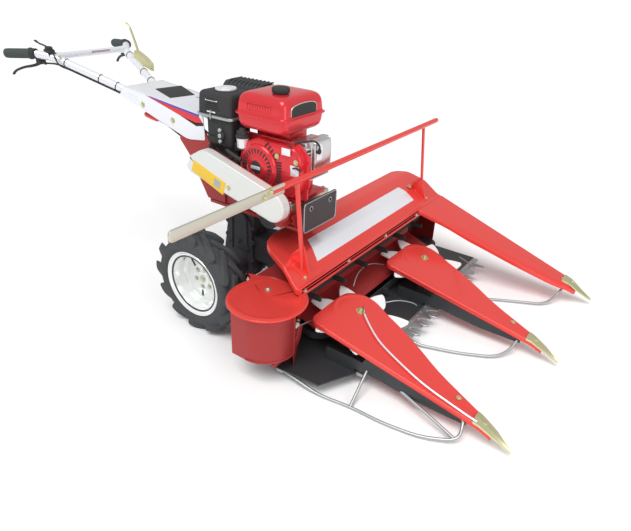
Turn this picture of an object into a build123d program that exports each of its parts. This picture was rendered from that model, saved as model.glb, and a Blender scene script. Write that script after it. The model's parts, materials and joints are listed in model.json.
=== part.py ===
from build123d import *
import math
import os

os.makedirs("parts", exist_ok=True)

# Overall sizes, in mm. X is the way of travel, Y is to the left, Z is up, the ground is Z 0.
TIP_X = 1205.0
WHEEL_R = 200.0
TRACK_HALF = 263.5
HEADER_LEFT = 880.0
BAR_RIGHT = -704.0
BAR_LEFT = HEADER_LEFT + 8
SHEET = 3.0

# Wheels
TYRE_W = 105.0
CARCASS_R = WHEEL_R - 17
BEAD_R = WHEEL_R * 0.54
LIP_R = WHEEL_R * 0.635
LIP_Y = 47.5
LIP_T = 3.5
RIM_T = 5.0
DISC_Y = 3.0
DISC_T = 6.0
HUB_R = 52.0
SHAFT_R = 17.0
SHAFT_FIT = 0.05
LUGS = 12
LUG_L = 132.0
LUG_W = 21.0
LUG_TURN = 26.0
LUG_OFF = 26.0

# Gearbox and bed
CASE_HALF = 55.0
CASE_LOW_R = 78.0
CASE_TOP = (10.0, 350.0, 62.0)
CASE_TOP_Z = 440.0
AXLE_END = 190.0
BORE_L = 60.0
BED_REAR = -110.0
BED_FRONT = 345.0
BED_HALF = 90.0
RAIL_IN = 62.0
RAIL_Z = 450.0
BED_Z = 505.0
BED_T = 6.0
BRACKET_T = 7.0
ZINC_H = 20.0
FRONT_PLATE_T = 8.0
FRONT_PLATE_Z = (440.0, 548.0)
FRONT_HOLE_Y = 58.0
FRONT_HOLE_Z = 522.0
FRONT_HOLE_R = 6.5
MOUNT_X = 100.0
MOUNT_HALF = 42.0
MOUNT_Z = (222.0, 322.0)

# Engine
CRANK_X = 163.0
CRANK_Z = 645.0
FOOT_T = 12.0
CASE_X = (75.0, 255.0)
CASE_Y = (-70.0, 90.0)
CASE_Z = 700.0
HEAD_X = 350.0
FAN_R = 95.0
FAN_Y = -112.0
RECOIL_R = 86.0
RECOIL_Y = -128.0
TANK_X = (68.0, 282.0)
TANK_Y = (-120.0, 106.0)
TANK_Z = (768.0, 888.0)
TANK_LIP_Z = 817.0
CAP_X = 208.0
CAP_Y = -48.0
CAP_R = 29.0
CLEANER_X = (-113.0, 45.0)
CLEANER_Y = (-120.0, 12.0)
CLEANER_Z = (787.0, 865.0)
MUFFLER_X = (-128.0, 58.0)
MUFFLER_Y = (22.0, 132.0)
MUFFLER_Z = (790.0, 876.0)

# Belt cover
PLATE_Y = (-BED_HALF - 75, -BED_HALF - 70)
COVER_Y = PLATE_Y[0] - 35
NOSE = (290.0, 552.0, 52.0)

# Handles
CONSOLE_HALF = BED_HALF + 10
TUBE_R = 16.0
CROSS_R = 13.0
GRIP_R = 19.0
GRIP_L = 140.0
HANDLE_LOW = (-560.0, CONSOLE_HALF - 30, 786.0)
HANDLE_BEND = (-872.0, 172.0, 888.0)
HANDLE_TURN = (-935.0, 226.0, 903.0)
HANDLE_END = (-1085.0, 268.0, 892.0)
CABLE_R = 3.5
CABLE_DROP = 20.5
CABLE_TURN = 24.0
TIES = (0.15, 0.62, 0.85)

# Header
FLOOR_Z = 45.0
FLOOR_T = 5.0
REAR_X = 235.0
TOP_Z = 278.0
TOP_T = 6.0
LIP_X = 450.0
LIP_LOW = 288.0
COVER_RIM = 22.0
PANEL_X = 369.0
PANEL_RIGHT = -215.0
PANEL_LEFT = HEADER_LEFT - 74
CUT_X = 664.0
GUARD = (367.0, -317.0, 110.0)
DISC_COVER_R = 137.0
UP_DRUM = (346.0, 40.0, 200.0, 225.0)
LOW_DRUM = (432.0, 55.0, 66.0, 94.0)
UP_ENDS = (-255.0, HEADER_LEFT - 90)
LOW_ENDS = (-95.0, HEADER_LEFT - 90)
BELT_T = 5.0
UP_LUG = 56.0
LOW_LUG = 22.0

# Dividers and star wheels
STAR_X = 573.0
STAR_Y = (-33.0, HEADER_LEFT - 382)
STAR_R = 195.0
STAR_ARMS = 7
PIN_R = 9.0
DIV_REAR = (440.0, 192.2)
DIV_BEND = (1100.0, 70.0)
DIV_TIP_Z = 25.0
DIV_RIM = 18.0
TIP_T = 4.0
SKID_R = 5.0

# Knife
KNIFE_PITCH = 76.2
KNIFE_GAP = 1.0
KNIFE_Y = (-160.0, HEADER_LEFT - 50)
STROKE = 25.0

# Guide rail
BAR_X = 372.0
BAR_Z = 660.0
BAR_R = 11.0
POST_Y = (-167.0, HEADER_LEFT - 125)

# The row origin is the middle of the bounding box, on the ground.
GRIP_SPAN = math.dist(HANDLE_TURN, HANDLE_END)
GRIP_RUN_X = (HANDLE_END[0] - HANDLE_TURN[0]) / GRIP_SPAN
GRIP_END_X = HANDLE_TURN[0] + GRIP_RUN_X * (10 + GRIP_L) - GRIP_R * math.sqrt(1 - GRIP_RUN_X**2)
MID_X = (TIP_X + GRIP_END_X) / 2
MID_Y = (BAR_RIGHT + BAR_LEFT) / 2


def box(x, y, z):
    mid = Pos((x[0] + x[1]) / 2, (y[0] + y[1]) / 2, (z[0] + z[1]) / 2)
    return mid * Box(abs(x[1] - x[0]), abs(y[1] - y[0]), abs(z[1] - z[0]))


def slab_xz(points, y0, y1):
    face = make_face(Polyline(*[(x, y0, z) for x, z in points], close=True))
    return extrude(face, amount=y1 - y0, dir=(0, 1, 0))


def slab_xy(points, z0, z1):
    face = make_face(Polyline(*[(x, y, z0) for x, y in points], close=True))
    return extrude(face, amount=z1 - z0, dir=(0, 0, 1))


def outline_xy(points, radius=0.0, inset=0.0, z0=0.0, z1=600.0):
    sketch = make_face(Polyline(*points, close=True))
    if radius:
        sketch = fillet(sketch.vertices(), radius)
    if inset:
        sketch = offset(sketch, amount=-inset)
    return extrude(Pos(0, 0, z0) * sketch, amount=z1 - z0)


def round_y(x, z, radius, y0, y1):
    return Pos(x, (y0 + y1) / 2, z) * Rot(90, 0, 0) * Cylinder(radius, abs(y1 - y0))


def round_z(x, y, radius, z0, z1):
    return Pos(x, y, (z0 + z1) / 2) * Cylinder(radius, abs(z1 - z0))


def round_x(y, z, radius, x0, x1):
    return Pos((x0 + x1) / 2, y, z) * Rot(0, 90, 0) * Cylinder(radius, abs(x1 - x0))


def bar(a, b, radius):
    start = Vector(*a)
    run = Vector(*b) - start
    low = (Align.CENTER, Align.CENTER, Align.MIN)
    return Plane(origin=start, z_dir=run) * Cylinder(radius, run.length, align=low)


def rod(points, radius):
    body = None
    for a, b in zip(points, points[1:]):
        piece = bar(a, b, radius)
        body = piece if body is None else body + piece
    for p in points[1:-1]:
        body = body + Pos(*p) * Sphere(radius)
    return body


def mirrored(shape):
    return mirror(shape, about=Plane.XZ)


def both(shape):
    return Compound([*shape.solids(), *mirrored(shape).solids()])


def joined(shapes):
    total = shapes[0]
    for shape in shapes[1:]:
        total = total + shape
    return total


# Wheels, drawn about the wheel centre with the outer side towards -Y.
def ring(points):
    face = make_face(Polyline(*[(r, y, 0) for r, y in points], close=True))
    return revolve(face, axis=Axis.Y)


def wheel_rim():
    flange = LIP_Y - LIP_T
    band = ring([
        (BEAD_R - RIM_T, -LIP_Y), (LIP_R, -LIP_Y), (LIP_R, -flange), (BEAD_R, -flange),
        (BEAD_R, flange), (LIP_R, flange), (LIP_R, LIP_Y), (BEAD_R - RIM_T, LIP_Y),
    ])
    disc = ring([
        (0, DISC_Y - 4), (HUB_R, DISC_Y - 4), (BEAD_R - RIM_T, DISC_Y + 6),
        (BEAD_R - RIM_T, DISC_Y + 6 + DISC_T), (HUB_R, DISC_Y + DISC_T), (0, DISC_Y + DISC_T),
    ])
    reach = TRACK_HALF - AXLE_END - 10
    hub = round_y(0, 0, 34, DISC_Y + DISC_T, reach)
    shaft = round_y(0, 0, SHAFT_R, reach, TRACK_HALF - AXLE_END + BORE_L - 4)
    return band + disc + hub + shaft


def tyre_body():
    flange = LIP_Y - LIP_T
    half = TYRE_W / 2
    wide = (LIP_R + CARCASS_R) / 2 - 5
    with BuildSketch() as section:
        with BuildLine():
            Line((BEAD_R, -flange), (LIP_R, -flange))
            ThreePointArc((LIP_R, -flange), (wide, -half), (CARCASS_R - 8, -flange + 1))
            ThreePointArc((CARCASS_R - 8, -flange + 1), (CARCASS_R, 0), (CARCASS_R - 8, flange - 1))
            ThreePointArc((CARCASS_R - 8, flange - 1), (wide, half), (LIP_R, flange))
            Line((LIP_R, flange), (BEAD_R, flange))
            Line((BEAD_R, flange), (BEAD_R, -flange))
        make_face()
    return revolve(section.sketch, axis=Axis.Y)


def tyre_lugs():
    half = TYRE_W / 2
    shell = ring([(CARCASS_R - 12, -half), (WHEEL_R, -half), (WHEEL_R, half), (CARCASS_R - 12, half)])
    bars = []
    for side in (-1, 1):
        for i in range(LUGS):
            turn = 360 / LUGS * (i + (0.25 if side > 0 else -0.25))
            block = Rot(0, 0, side * LUG_TURN) * Box(LUG_L, LUG_W, 60)
            bars.append(Rot(0, turn, 0) * Pos(0, side * LUG_OFF, CARCASS_R + 10) * block)
    lugs = []
    for block in bars:
        lugs.append(shell & block)
    return lugs


def tyre():
    return tyre_body().fuse(*[s for lug in tyre_lugs() for s in lug.solids()])


def place_wheel(shape, side):
    placed = Pos(0, -TRACK_HALF, WHEEL_R) * shape
    if side > 0:
        placed = mirrored(placed)
    return placed


# Drive and bed
def hull_y(circles, y0, y1):
    (x0, z0, r0), (x1, z1, r1) = circles
    dist = math.hypot(x1 - x0, z1 - z0)
    tilt = math.atan2(z1 - z0, x1 - x0)
    swing = math.acos((r0 - r1) / dist)
    points = []
    for sign in (1, -1):
        for x, z, r in ((x0, z0, r0), (x1, z1, r1))[::sign]:
            angle = tilt + sign * swing
            points.append((x + r * math.cos(angle), z + r * math.sin(angle)))
    body = slab_xz(points, y0, y1)
    for x, z, r in circles:
        body = body + round_y(x, z, r, y0, y1)
    return body


def gearbox_case():
    low = (0.0, WHEEL_R, CASE_LOW_R)
    body = hull_y((low, CASE_TOP), -CASE_HALF, CASE_HALF)
    x, z, r = CASE_TOP
    wide = ((0.0, WHEEL_R, CASE_LOW_R + 10), (x, z, r + 10))
    body = body + hull_y(wide, -7, 7)
    body = body + box((-60, 80), (-48, 48), (z, CASE_TOP_Z))
    body = body + box((40, MOUNT_X), (-MOUNT_HALF, MOUNT_HALF), MOUNT_Z)
    axle = round_y(0, WHEEL_R, 36, -AXLE_END, AXLE_END)
    collar = round_y(0, WHEEL_R, 52, -CASE_HALF - 55, CASE_HALF + 55)
    body = body + axle + collar
    for side in (-1, 1):
        body = body - round_y(0, WHEEL_R, SHAFT_R + SHAFT_FIT, side * (AXLE_END - BORE_L), side * AXLE_END)
    return body


def header_mount():
    return box((MOUNT_X, REAR_X), (-MOUNT_HALF, MOUNT_HALF), MOUNT_Z)


def bed_frame():
    top = box((BED_REAR, BED_FRONT), (-BED_HALF, BED_HALF), (BED_Z, BED_Z + BED_T))
    rail = box((BED_REAR, BED_FRONT), (RAIL_IN, BED_HALF), (RAIL_Z, BED_Z))
    saddle = box((-60, 80), (-RAIL_IN, RAIL_IN), (CASE_TOP_Z, BED_Z))
    body = top + rail + mirrored(rail) + saddle
    arm = [
        (-110, 455), (-20, 455), (-20, 560), (-84, 676), (-112, 716), (-235, 716), (-245, 660), (-200, 610),
    ]
    plate = slab_xz(arm, BED_HALF, CONSOLE_HALF - SHEET)
    return body + plate + mirrored(plate)


def engine_rails():
    z = (BED_Z + BED_T, BED_Z + BED_T + ZINC_H)
    front = box((268, 300), (-100, 128), z)
    rear = box((44, 76), (-100, 128), z)
    return Compound([front, rear])


def front_plate():
    x = (BED_FRONT, BED_FRONT + FRONT_PLATE_T)
    plate = box(x, (-BED_HALF - 8, BED_HALF + 8), FRONT_PLATE_Z)
    for y in (-FRONT_HOLE_Y, FRONT_HOLE_Y):
        plate = plate - round_x(y, FRONT_HOLE_Z, FRONT_HOLE_R, x[0] - 1, x[1] + 1)
    return plate


# Engine
def engine_block():
    base = BED_Z + BED_T + ZINC_H
    foot = box((40, 305), (CASE_Y[0] - 5, CASE_Y[1] + 5), (base, base + FOOT_T))
    case = box(CASE_X, CASE_Y, (base + FOOT_T, CASE_Z))
    case = fillet(case.edges().filter_by(Axis.Y), 14)
    neck = box((100, 236), (-40, 66), (CASE_Z - 20, TANK_Z[0]))
    shaft = round_y(CRANK_X, CRANK_Z, 13, CASE_Y[1], CASE_Y[1] + 52)
    return foot + case + neck + shaft


def cylinder_head():
    top = 762
    body = box((CASE_X[1], HEAD_X - 34), (-55, 70), (612, 742))
    body = body + box((HEAD_X - 34, HEAD_X), (-46, 60), (632, top))
    fins = [box((CASE_X[1], HEAD_X - 38), (-62, 77), (z, z + 5)) for z in range(622, 740, 17)]
    return joined([body, *fins])


def fan_cover():
    duct = [(190, 738), (300, 738), (336, 702), (336, 600), (300, 556), (190, 552)]
    body = round_y(CRANK_X, CRANK_Z, FAN_R, FAN_Y, CASE_Y[0]) + slab_xz(duct, FAN_Y + 10, CASE_Y[0])
    return body


def recoil_starter():
    low = (Align.CENTER, Align.CENTER, Align.MIN)
    plane = Plane(origin=(CRANK_X, FAN_Y, CRANK_Z), z_dir=(0, -1, 0))
    dome = plane * Cone(RECOIL_R, RECOIL_R - 8, 9, align=low)
    face = round_y(CRANK_X, CRANK_Z, RECOIL_R - 20, RECOIL_Y, FAN_Y)
    return dome + face


def fuel_tank():
    pan = box(TANK_X, TANK_Y, (TANK_Z[0], TANK_LIP_Z))
    pan = fillet(pan.edges().filter_by(Axis.Z), 26)
    pan = chamfer(pan.faces().sort_by(Axis.Z)[0].edges(), 14)
    grow = 7
    wide = (TANK_X[0] - grow, TANK_X[1] + grow)
    lip = box(wide, (TANK_Y[0] - grow, TANK_Y[1] + grow), (TANK_LIP_Z, TANK_LIP_Z + 4))
    lip = fillet(lip.edges().filter_by(Axis.Z), 30)
    hood = box(TANK_X, TANK_Y, (TANK_LIP_Z + 4, TANK_Z[1]))
    hood = fillet(hood.edges().filter_by(Axis.Z), 26)
    hood = fillet(hood.faces().sort_by(Axis.Z)[-1].edges(), 20)
    return pan + lip + hood


def fuel_cap():
    low = round_z(CAP_X, CAP_Y, CAP_R - 5, TANK_Z[1], TANK_Z[1] + 5)
    return low + round_z(CAP_X, CAP_Y, CAP_R, TANK_Z[1] + 5, TANK_Z[1] + 21)


def air_cleaner():
    z0, z1 = CLEANER_Z
    flange = box((CLEANER_X[0] - 5, CLEANER_X[1] + 5), (CLEANER_Y[0] - 5, CLEANER_Y[1] + 5), (z0, z0 + 10))
    lid = box(CLEANER_X, CLEANER_Y, (z0 + 10, z1))
    lid = fillet(lid.edges().filter_by(Axis.Z), 16)
    lid = fillet(lid.faces().sort_by(Axis.Z)[-1].edges(), 7)
    knob = round_z(-34, -54, 38, z1, z1 + 9)
    return flange + lid + knob


def control_box():
    body = box((-78, 40), (-114, -8), (682, CLEANER_Z[0]))
    body = fillet(body.edges().filter_by(Axis.Z), 10)
    carb = box((28, CASE_X[0]), (-60, 10), (640, 682)) + box((28, 40), (-60, -8), (640, 720))
    return body + carb


def muffler():
    body = box(MUFFLER_X, MUFFLER_Y, MUFFLER_Z)
    body = fillet(body.edges().filter_by(Axis.X), 24)
    leg = box((34, 56), (60, 88), (650, MUFFLER_Z[0] + 30)) + box((34, CASE_X[0]), (60, 88), (650, 690))
    return body + leg


# Belt cover on the right side of the bed
def cover_face(y0, y1, shrink=0.0):
    x, z, r = NOSE
    outline = [(-106, 612), (-96, 645), (-28, 684), (-4, 684), (303.5, 602.2), (276.5, 501.8), (-90, 590)]
    sketch = make_face(Polyline(*[(px, pz) for px, pz in outline], close=True))
    sketch = sketch + Pos(x, z) * Circle(r)
    if shrink:
        sketch = offset(sketch, amount=-shrink)
    plane = Plane(origin=(0, y0, 0), x_dir=(1, 0, 0), z_dir=(0, -1, 0))
    return extrude(plane * sketch, amount=y1 - y0, dir=(0, 1, 0))


def belt_cover():
    return cover_face(COVER_Y, PLATE_Y[0]) - cover_face(COVER_Y + SHEET, PLATE_Y[0], SHEET)


def belt_back_plate():
    plate = Pos(0, 0, -10) * cover_face(*PLATE_Y) + cover_face(*PLATE_Y)
    front = box((275, 305), (PLATE_Y[1], -BED_HALF), (470, BED_Z + 4))
    rear = box((-105, -75), (PLATE_Y[1], -CONSOLE_HALF + SHEET), (600, 640))
    return plate + front + rear


def drive_pulley():
    return round_y(225, 478, 42, -138, -112) + round_y(225, 478, 14, -112, -BED_HALF)


# Handles
def console():
    side = [(-582, 774), (-198, 667), (-106, 680), (-109, 768), (-549, 811)]
    plate = slab_xz(side, CONSOLE_HALF - SHEET, CONSOLE_HALF)
    top = [(-549, 811), (-150, 772), (-150, 772 - SHEET), (-549, 811 - SHEET)]
    cover = slab_xz(top, -CONSOLE_HALF + SHEET, CONSOLE_HALF - SHEET)
    return plate + mirrored(plate) + cover


def handle_tube():
    body = rod([HANDLE_LOW, HANDLE_BEND, HANDLE_TURN], TUBE_R)
    unit = (Vector(*HANDLE_END) - Vector(*HANDLE_TURN)).normalized()
    body = body + bar(HANDLE_TURN, tuple(Vector(*HANDLE_TURN) + unit * 10), TUBE_R)
    tab = box((-568, -470), (CONSOLE_HALF - SHEET - 22, CONSOLE_HALF - SHEET), (776, 799))
    return body + tab


def crossbar():
    x, y, z = HANDLE_BEND
    body = round_y(x, z + 6, CROSS_R, -y, y)
    return body - handle_tube() - mirrored(handle_tube())


def hand_grips():
    start = Vector(*HANDLE_TURN)
    unit = (Vector(*HANDLE_END) - start).normalized()
    return both(bar(tuple(start + unit * 10), tuple(start + unit * (10 + GRIP_L)), GRIP_R))


def hand_levers():
    x, y, z = HANDLE_TURN
    clamp = box((x - 4, x + 22), (y - 34, y - 2), (z - 42, z + 2))
    blade = rod([(x + 10, y - 20, z - 40), (x - 30, y + 4, z - 62), (x - 110, y + 30, z - 78)], 6)
    return both(clamp + blade - handle_tube())


def throttle_lever():
    x, y, z = HANDLE_BEND
    saddle = box((x - 38, x - 2), (-y - 22, -y + 4), (z + 6, z + 34))
    arm = rod([(x - 20, -y - 10, z + 30), (x - 58, -y - 18, z + 52)], 4)
    return saddle + arm - mirrored(handle_tube()) - crossbar()


def tall_lever():
    plate = slab_xz([(-790, 868), (-650, 830), (-646, 862), (-700, 905), (-770, 912)], 134, 140)
    arm = rod([(-752, 137, 895), (-772, 142, 960), (-800, 146, 1010)], 5)
    return plate + arm - handle_tube()


# Control cables, drawn on the left handle and mirrored to the right one
def under_tube(share, turn=0.0):
    start = Vector(*HANDLE_BEND)
    run = Vector(*HANDLE_LOW) - start
    axis = run.normalized()
    down = (Vector(0, 0, -1) + axis * axis.Z).normalized()
    side = axis.cross(down)
    angle = math.radians(turn)
    point = start + run * share + (down * math.cos(angle) + side * math.sin(angle)) * CABLE_DROP
    return tuple(point)


def cable_tie(share):
    start = Vector(*HANDLE_BEND)
    run = Vector(*HANDLE_LOW) - start
    plane = Plane(origin=start + run * share, z_dir=run)
    return plane * Cylinder(TUBE_R + 2.5, 8) - plane * Cylinder(TUBE_R, 20)


def clutch_cable():
    x, y, z = HANDLE_TURN
    first = [(x + 22, y - 18, z - 35), (x + 35, y - 18, z - 35)]
    last = [(-430, 75, 728), (-240, 60, 640), (-150, 48, 500), (-80, 42, 470), (-60, 42, 470)]
    return rod([*first, under_tube(0.03), under_tube(0.88), *last], CABLE_R)


def throttle_cable():
    x, y, z = HANDLE_BEND
    y = y + 14
    first = [(x - 2, y, z + 20), (x + 10, y, z + 20), (x + 27, y + 4, z - 3), (x + 37, y - 2, z - 26)]
    last = [(-430, 85, 745), (-240, 72, 705), (-110, 50, 662), (10, 40, 661), (28, 40, 661)]
    tube = [under_tube(0.2, CABLE_TURN), under_tube(0.88, CABLE_TURN)]
    return rod([*first, *tube, *last], CABLE_R - 0.5)


def control_cables():
    left = joined([clutch_cable(), *[cable_tie(share) for share in TIES]])
    right = mirrored(left + throttle_cable())
    return Compound([*left.solids(), *right.solids()])


def gear_rod():
    knob = bar((-480, -60, 707), (-408, -60, 698), 9)
    line = [(-410, -60, 698), (-360, -60, 688), (-230, -40, 640), (-130, -20, 470), (-60, -20, 470)]
    return knob + rod(line, 5)


# Header
def cover_top(x):
    points = HEADER_PROFILE
    for (x0, z0), (x1, z1) in zip(points, points[1:]):
        if x <= x1:
            return z0 + (z1 - z0) * (x - x0) / (x1 - x0)
    return points[-1][1]


HEADER_PROFILE = [(205, 394), (265, 393.5), (360, 370), (436, 317.5), (450, 317.5)]
HEADER_PLAN = [
    (205, -81), (225, -145), (262, -187), (450, -252), (450, HEADER_LEFT), (265, HEADER_LEFT),
    (205, HEADER_LEFT - 43),
]


def pressed(profile, plan, rim, y0, y1, radius=0.0):
    xs = [x for x, z in profile]
    top = list(profile)
    low = [(x, z - rim) for x, z in reversed(profile)]
    outer = slab_xz(top + low, y0, y1) & outline_xy(plan, radius)
    drop = [(x, z - SHEET) for x, z in profile]
    drop[0] = (xs[0] - 20, drop[0][1] - (profile[1][1] - profile[0][1]) / (xs[1] - xs[0]) * 20)
    under = [(x, z - rim - 40) for x, z in reversed(drop)]
    inner = slab_xz(drop + under, y0, y1) & outline_xy(plan, radius, SHEET)
    return outer - inner


def header_cover():
    body = pressed(HEADER_PROFILE, HEADER_PLAN, COVER_RIM, -300, HEADER_LEFT + 20)
    lip = box((LIP_X - SHEET, LIP_X), (-252, HEADER_LEFT), (LIP_LOW, 317.5))
    return body + lip


def header_frame():
    high = TOP_Z + TOP_T
    left = HEADER_LEFT - 4
    rear = box((REAR_X, REAR_X + 4), (PANEL_RIGHT, left), (FLOOR_Z + FLOOR_T, high))
    top = box((REAR_X, 446), (PANEL_RIGHT, left), (TOP_Z, high))
    x, y, r = GUARD
    near = slab_xy([(300, PANEL_RIGHT), (300, y), (x + r - 8, -300), (446, PANEL_RIGHT)], TOP_Z, high)
    near = near + (round_z(x, y, r - SHEET, TOP_Z, high) & box((240, 500), (-440, y + 60), (TOP_Z, high)))
    t = SHEET
    sheet = [
        (PANEL_X - t, TOP_Z), (PANEL_X, TOP_Z), (PANEL_X, 150), (478, 112), (478, 112 - t),
        (PANEL_X - t, 150 - t),
    ]
    panel = slab_xz(sheet, PANEL_RIGHT + 56, PANEL_LEFT - 70)
    far = box((REAR_X, 446), (left - 4, left), (FLOOR_Z + FLOOR_T, TOP_Z))
    body = rear + top + near + panel + far
    for y0 in (-70, 380, HEADER_LEFT - 50):
        drop = [(px, pz - SHEET) for px, pz in HEADER_PROFILE if 205 < px < 440]
        first = (REAR_X, cover_top(REAR_X) - SHEET)
        rib = [first, *drop, (436, high), (REAR_X, high)]
        body = body + slab_xz(rib, y0, y0 + 5)
    return body


FLOOR_PLAN = [
    (REAR_X, PANEL_RIGHT), (330, -300), (430, -346), (600, -332), (640, -250), (CUT_X, -205),
    (CUT_X, HEADER_LEFT), (REAR_X, HEADER_LEFT),
]


def header_floor():
    return slab_xy(FLOOR_PLAN, FLOOR_Z, FLOOR_Z + FLOOR_T)


def end_cover():
    x, y, r = GUARD
    high = TOP_Z + TOP_T
    disc = round_z(370, -315, DISC_COVER_R, high, LIP_LOW)
    tail = slab_xy([(253, -260), (300, PANEL_RIGHT), (446, PANEL_RIGHT), (470, -240)], high, LIP_LOW)
    return disc + tail


def end_guard():
    x, y, r = GUARD
    high = TOP_Z + TOP_T
    wall = round_z(x, y, r, 100, high) - round_z(x, y, r - SHEET, 90, high + 10)
    keep = slab_xy([(x, y), (x, y - 200), (x + 250, y - 200), (x + 250, y + 33)], 90, high + 10)
    wall = wall & keep
    back = box((x - 60, x), (y - r, y - r + SHEET), (100, high))
    seam = (x + (r - SHEET) * math.cos(math.radians(7.5)), y + (r - SHEET) * math.sin(math.radians(7.5)))
    run = [seam, (seam[0] + SHEET, seam[1]), (398, -165), (395, -165)]
    panel = slab_xy(run, FLOOR_Z + FLOOR_T, TOP_Z)
    window = box((385, 462), (-300, -150), (UP_DRUM[2] - 7, UP_DRUM[3] + 7))
    return wall + back + (panel - window)


def loop(drum, ends, lug, pitch, start):
    x, r, z0, z1 = drum
    y0, y1 = ends
    inner = r
    outer = r + BELT_T
    body = box((x - outer, x + outer), (y0, y1), (z0, z1))
    body = body + round_z(x, y0, outer, z0, z1) + round_z(x, y1, outer, z0, z1)
    hole = box((x - inner, x + inner), (y0, y1), (z0 - 1, z1 + 1))
    hole = hole + round_z(x, y0, inner, z0 - 1, z1 + 1) + round_z(x, y1, inner, z0 - 1, z1 + 1)
    body = body - hole
    y = start
    while y < y1:
        body = body + box((x + outer - 1, x + outer + lug), (y, y + 9), (z0 + 3, z1 - 3))
        if y + 69 < y1:
            body = body + box((x - outer - min(lug, 40), x - outer + 1), (y + 60, y + 69), (z0 + 3, z1 - 3))
        y = y + pitch
    return body


def upper_belt():
    return loop(UP_DRUM, UP_ENDS, UP_LUG, 163.0, 50.0 - 163.0)


def lower_belt():
    return loop(LOW_DRUM, LOW_ENDS, LOW_LUG, 163.0, -40.0)


def belt_drums():
    solids = []
    floor = FLOOR_Z + FLOOR_T
    for drum, ends, top in ((UP_DRUM, UP_ENDS, TOP_Z), (LOW_DRUM, LOW_ENDS, LOW_DRUM[3])):
        x, r, z0, z1 = drum
        for y in ends:
            solids.append(round_z(x, y, r, z0, z1) + round_z(x, y, 12, floor, top))
    return Compound([s for body in solids for s in body.solids()])


# Dividers
DIV_PLAN = [
    (465, -170), (465, 40), (480, 72), (520, 100), (560, 104), (600, 93), (640, 72), (715, 45), (810, 2),
    (909, -52), (1100, -122), (1140, -140), (1140, -170),
]
FAR_PROFILE = [(450, 317.5), (1110, 92), (1205, 25)]
FAR_PLAN = [
    (450, -243), (685, -182), (908, -138), (1061, -97), (1140, -45), (1140, -8), (1109, 0), (450, 0),
]


def div_profile(lift=0.0):
    return [(DIV_REAR[0], DIV_REAR[1] + lift), (DIV_BEND[0], DIV_BEND[1] + lift), (TIP_X, DIV_TIP_Z + lift)]


def div_top(x):
    (x0, z0), (x1, z1) = DIV_REAR, DIV_BEND
    return z0 + (z1 - z0) * (x - x0) / (x1 - x0)


def divider_cover(y0):
    plan = [(x, y + y0) for x, y in DIV_PLAN]
    return pressed(div_profile(), plan, DIV_RIM, y0 - 200, y0 + 140)


def far_divider_cover():
    plan = [(x, y + HEADER_LEFT) for x, y in FAR_PLAN]
    return pressed(FAR_PROFILE, plan, DIV_RIM, HEADER_LEFT - 280, HEADER_LEFT + 20)


def tip_plate(profile, y_side, width):
    lift = [(x, z + TIP_T) for x, z in reversed(profile)]
    slab = slab_xz(list(profile) + lift, y_side - 100, y_side + 100)
    point = [(TIP_X, y_side + width * 0.14), (TIP_X, y_side + width * 0.02)]
    return slab & outline_xy([(1085, y_side), (1085, y_side + width), *point])


def divider_tips():
    solids = []
    for y0 in STAR_Y:
        solids.append(tip_plate(div_profile(), y0 - 168, 44))
    far = tip_plate(FAR_PROFILE, HEADER_LEFT - 2, -62)
    solids.append(far)
    return Compound([s for body in solids for s in body.solids()])


def star_plane(y0):
    (x0, z0), (x1, z1) = DIV_REAR, DIV_BEND
    along = (x1 - x0, 0, z1 - z0)
    return Plane(origin=(STAR_X, y0, div_top(STAR_X)), x_dir=along, z_dir=(z0 - z1, 0, x1 - x0))


def side_plate(y0):
    t = SHEET
    y = y0 - 170 + t
    under = div_top
    points = [
        (540, 50), (540, 100), (685, 100), (705, under(705) - t), (1060, under(1060) - t), (1060, 45),
        (900, 45), (745, 62), (655, 62), (655, 50),
    ]
    return slab_xz(points, y, y + 4)


def star_pin(y0):
    frame = star_plane(y0)
    low = (Align.CENTER, Align.CENTER, Align.MAX)
    pin = frame * Pos(0, 0, -SHEET) * Cylinder(PIN_R, 140, align=low)
    collar = frame * Pos(0, 0, -42) * Cylinder(20, 10, align=low)
    cut = box((400, 700), (y0 - 60, y0 + 60), (-60, FLOOR_Z + FLOOR_T))
    return pin + collar - cut


def divider_frames():
    solids = []
    for y0 in STAR_Y:
        solids.append(side_plate(y0))
        solids.append(star_pin(y0))
    return Compound([s for body in solids for s in body.solids()])


def star_wheel(y0, turn):
    frame = star_plane(y0)
    arm = [(20, -22), (80, -40), (135, -34), (STAR_R, 8), (120, 34), (70, 34), (20, 22)]
    blade = make_face(Polyline(*arm, close=True))
    plate = Circle(70)
    for i in range(STAR_ARMS):
        plate = plate + Rot(0, 0, turn + 360 / STAR_ARMS * i) * blade
    plate = extrude(Pos(0, 0, -30) * plate, amount=6)
    low = (Align.CENTER, Align.CENTER, Align.MIN)
    hub = Pos(0, 0, -41) * Cylinder(24, 31, align=low)
    body = plate + hub - Pos(0, 0, -60) * Cylinder(PIN_R + SHAFT_FIT, 80, align=low)
    return frame * body


SKIDS = [
    [
        (440, -330, 38), (600, -330, 6), (716, -312, 5), (834, -311, 5), (958, -294, 8), (1063, -249, 22),
        (1050, -199, 50),
    ],
    [(716, -312, 6), (706, -198, 72)],
    [(835, -198, 55), (950, -225, 40), (1050, -250, 22)],
]
MID_SKID = [
    (650, -348, 40), (724, -377, 8), (879, -323, 6), (1005, -260, 8), (1040, -208, 26), (1048, -166, 50),
]
FAR_SKID = [
    (640, -320, 40), (706, -335, 8), (880, -230, 6), (1050, -145, 10), (1080, -80, 40), (1092, -35, 78),
]


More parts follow.
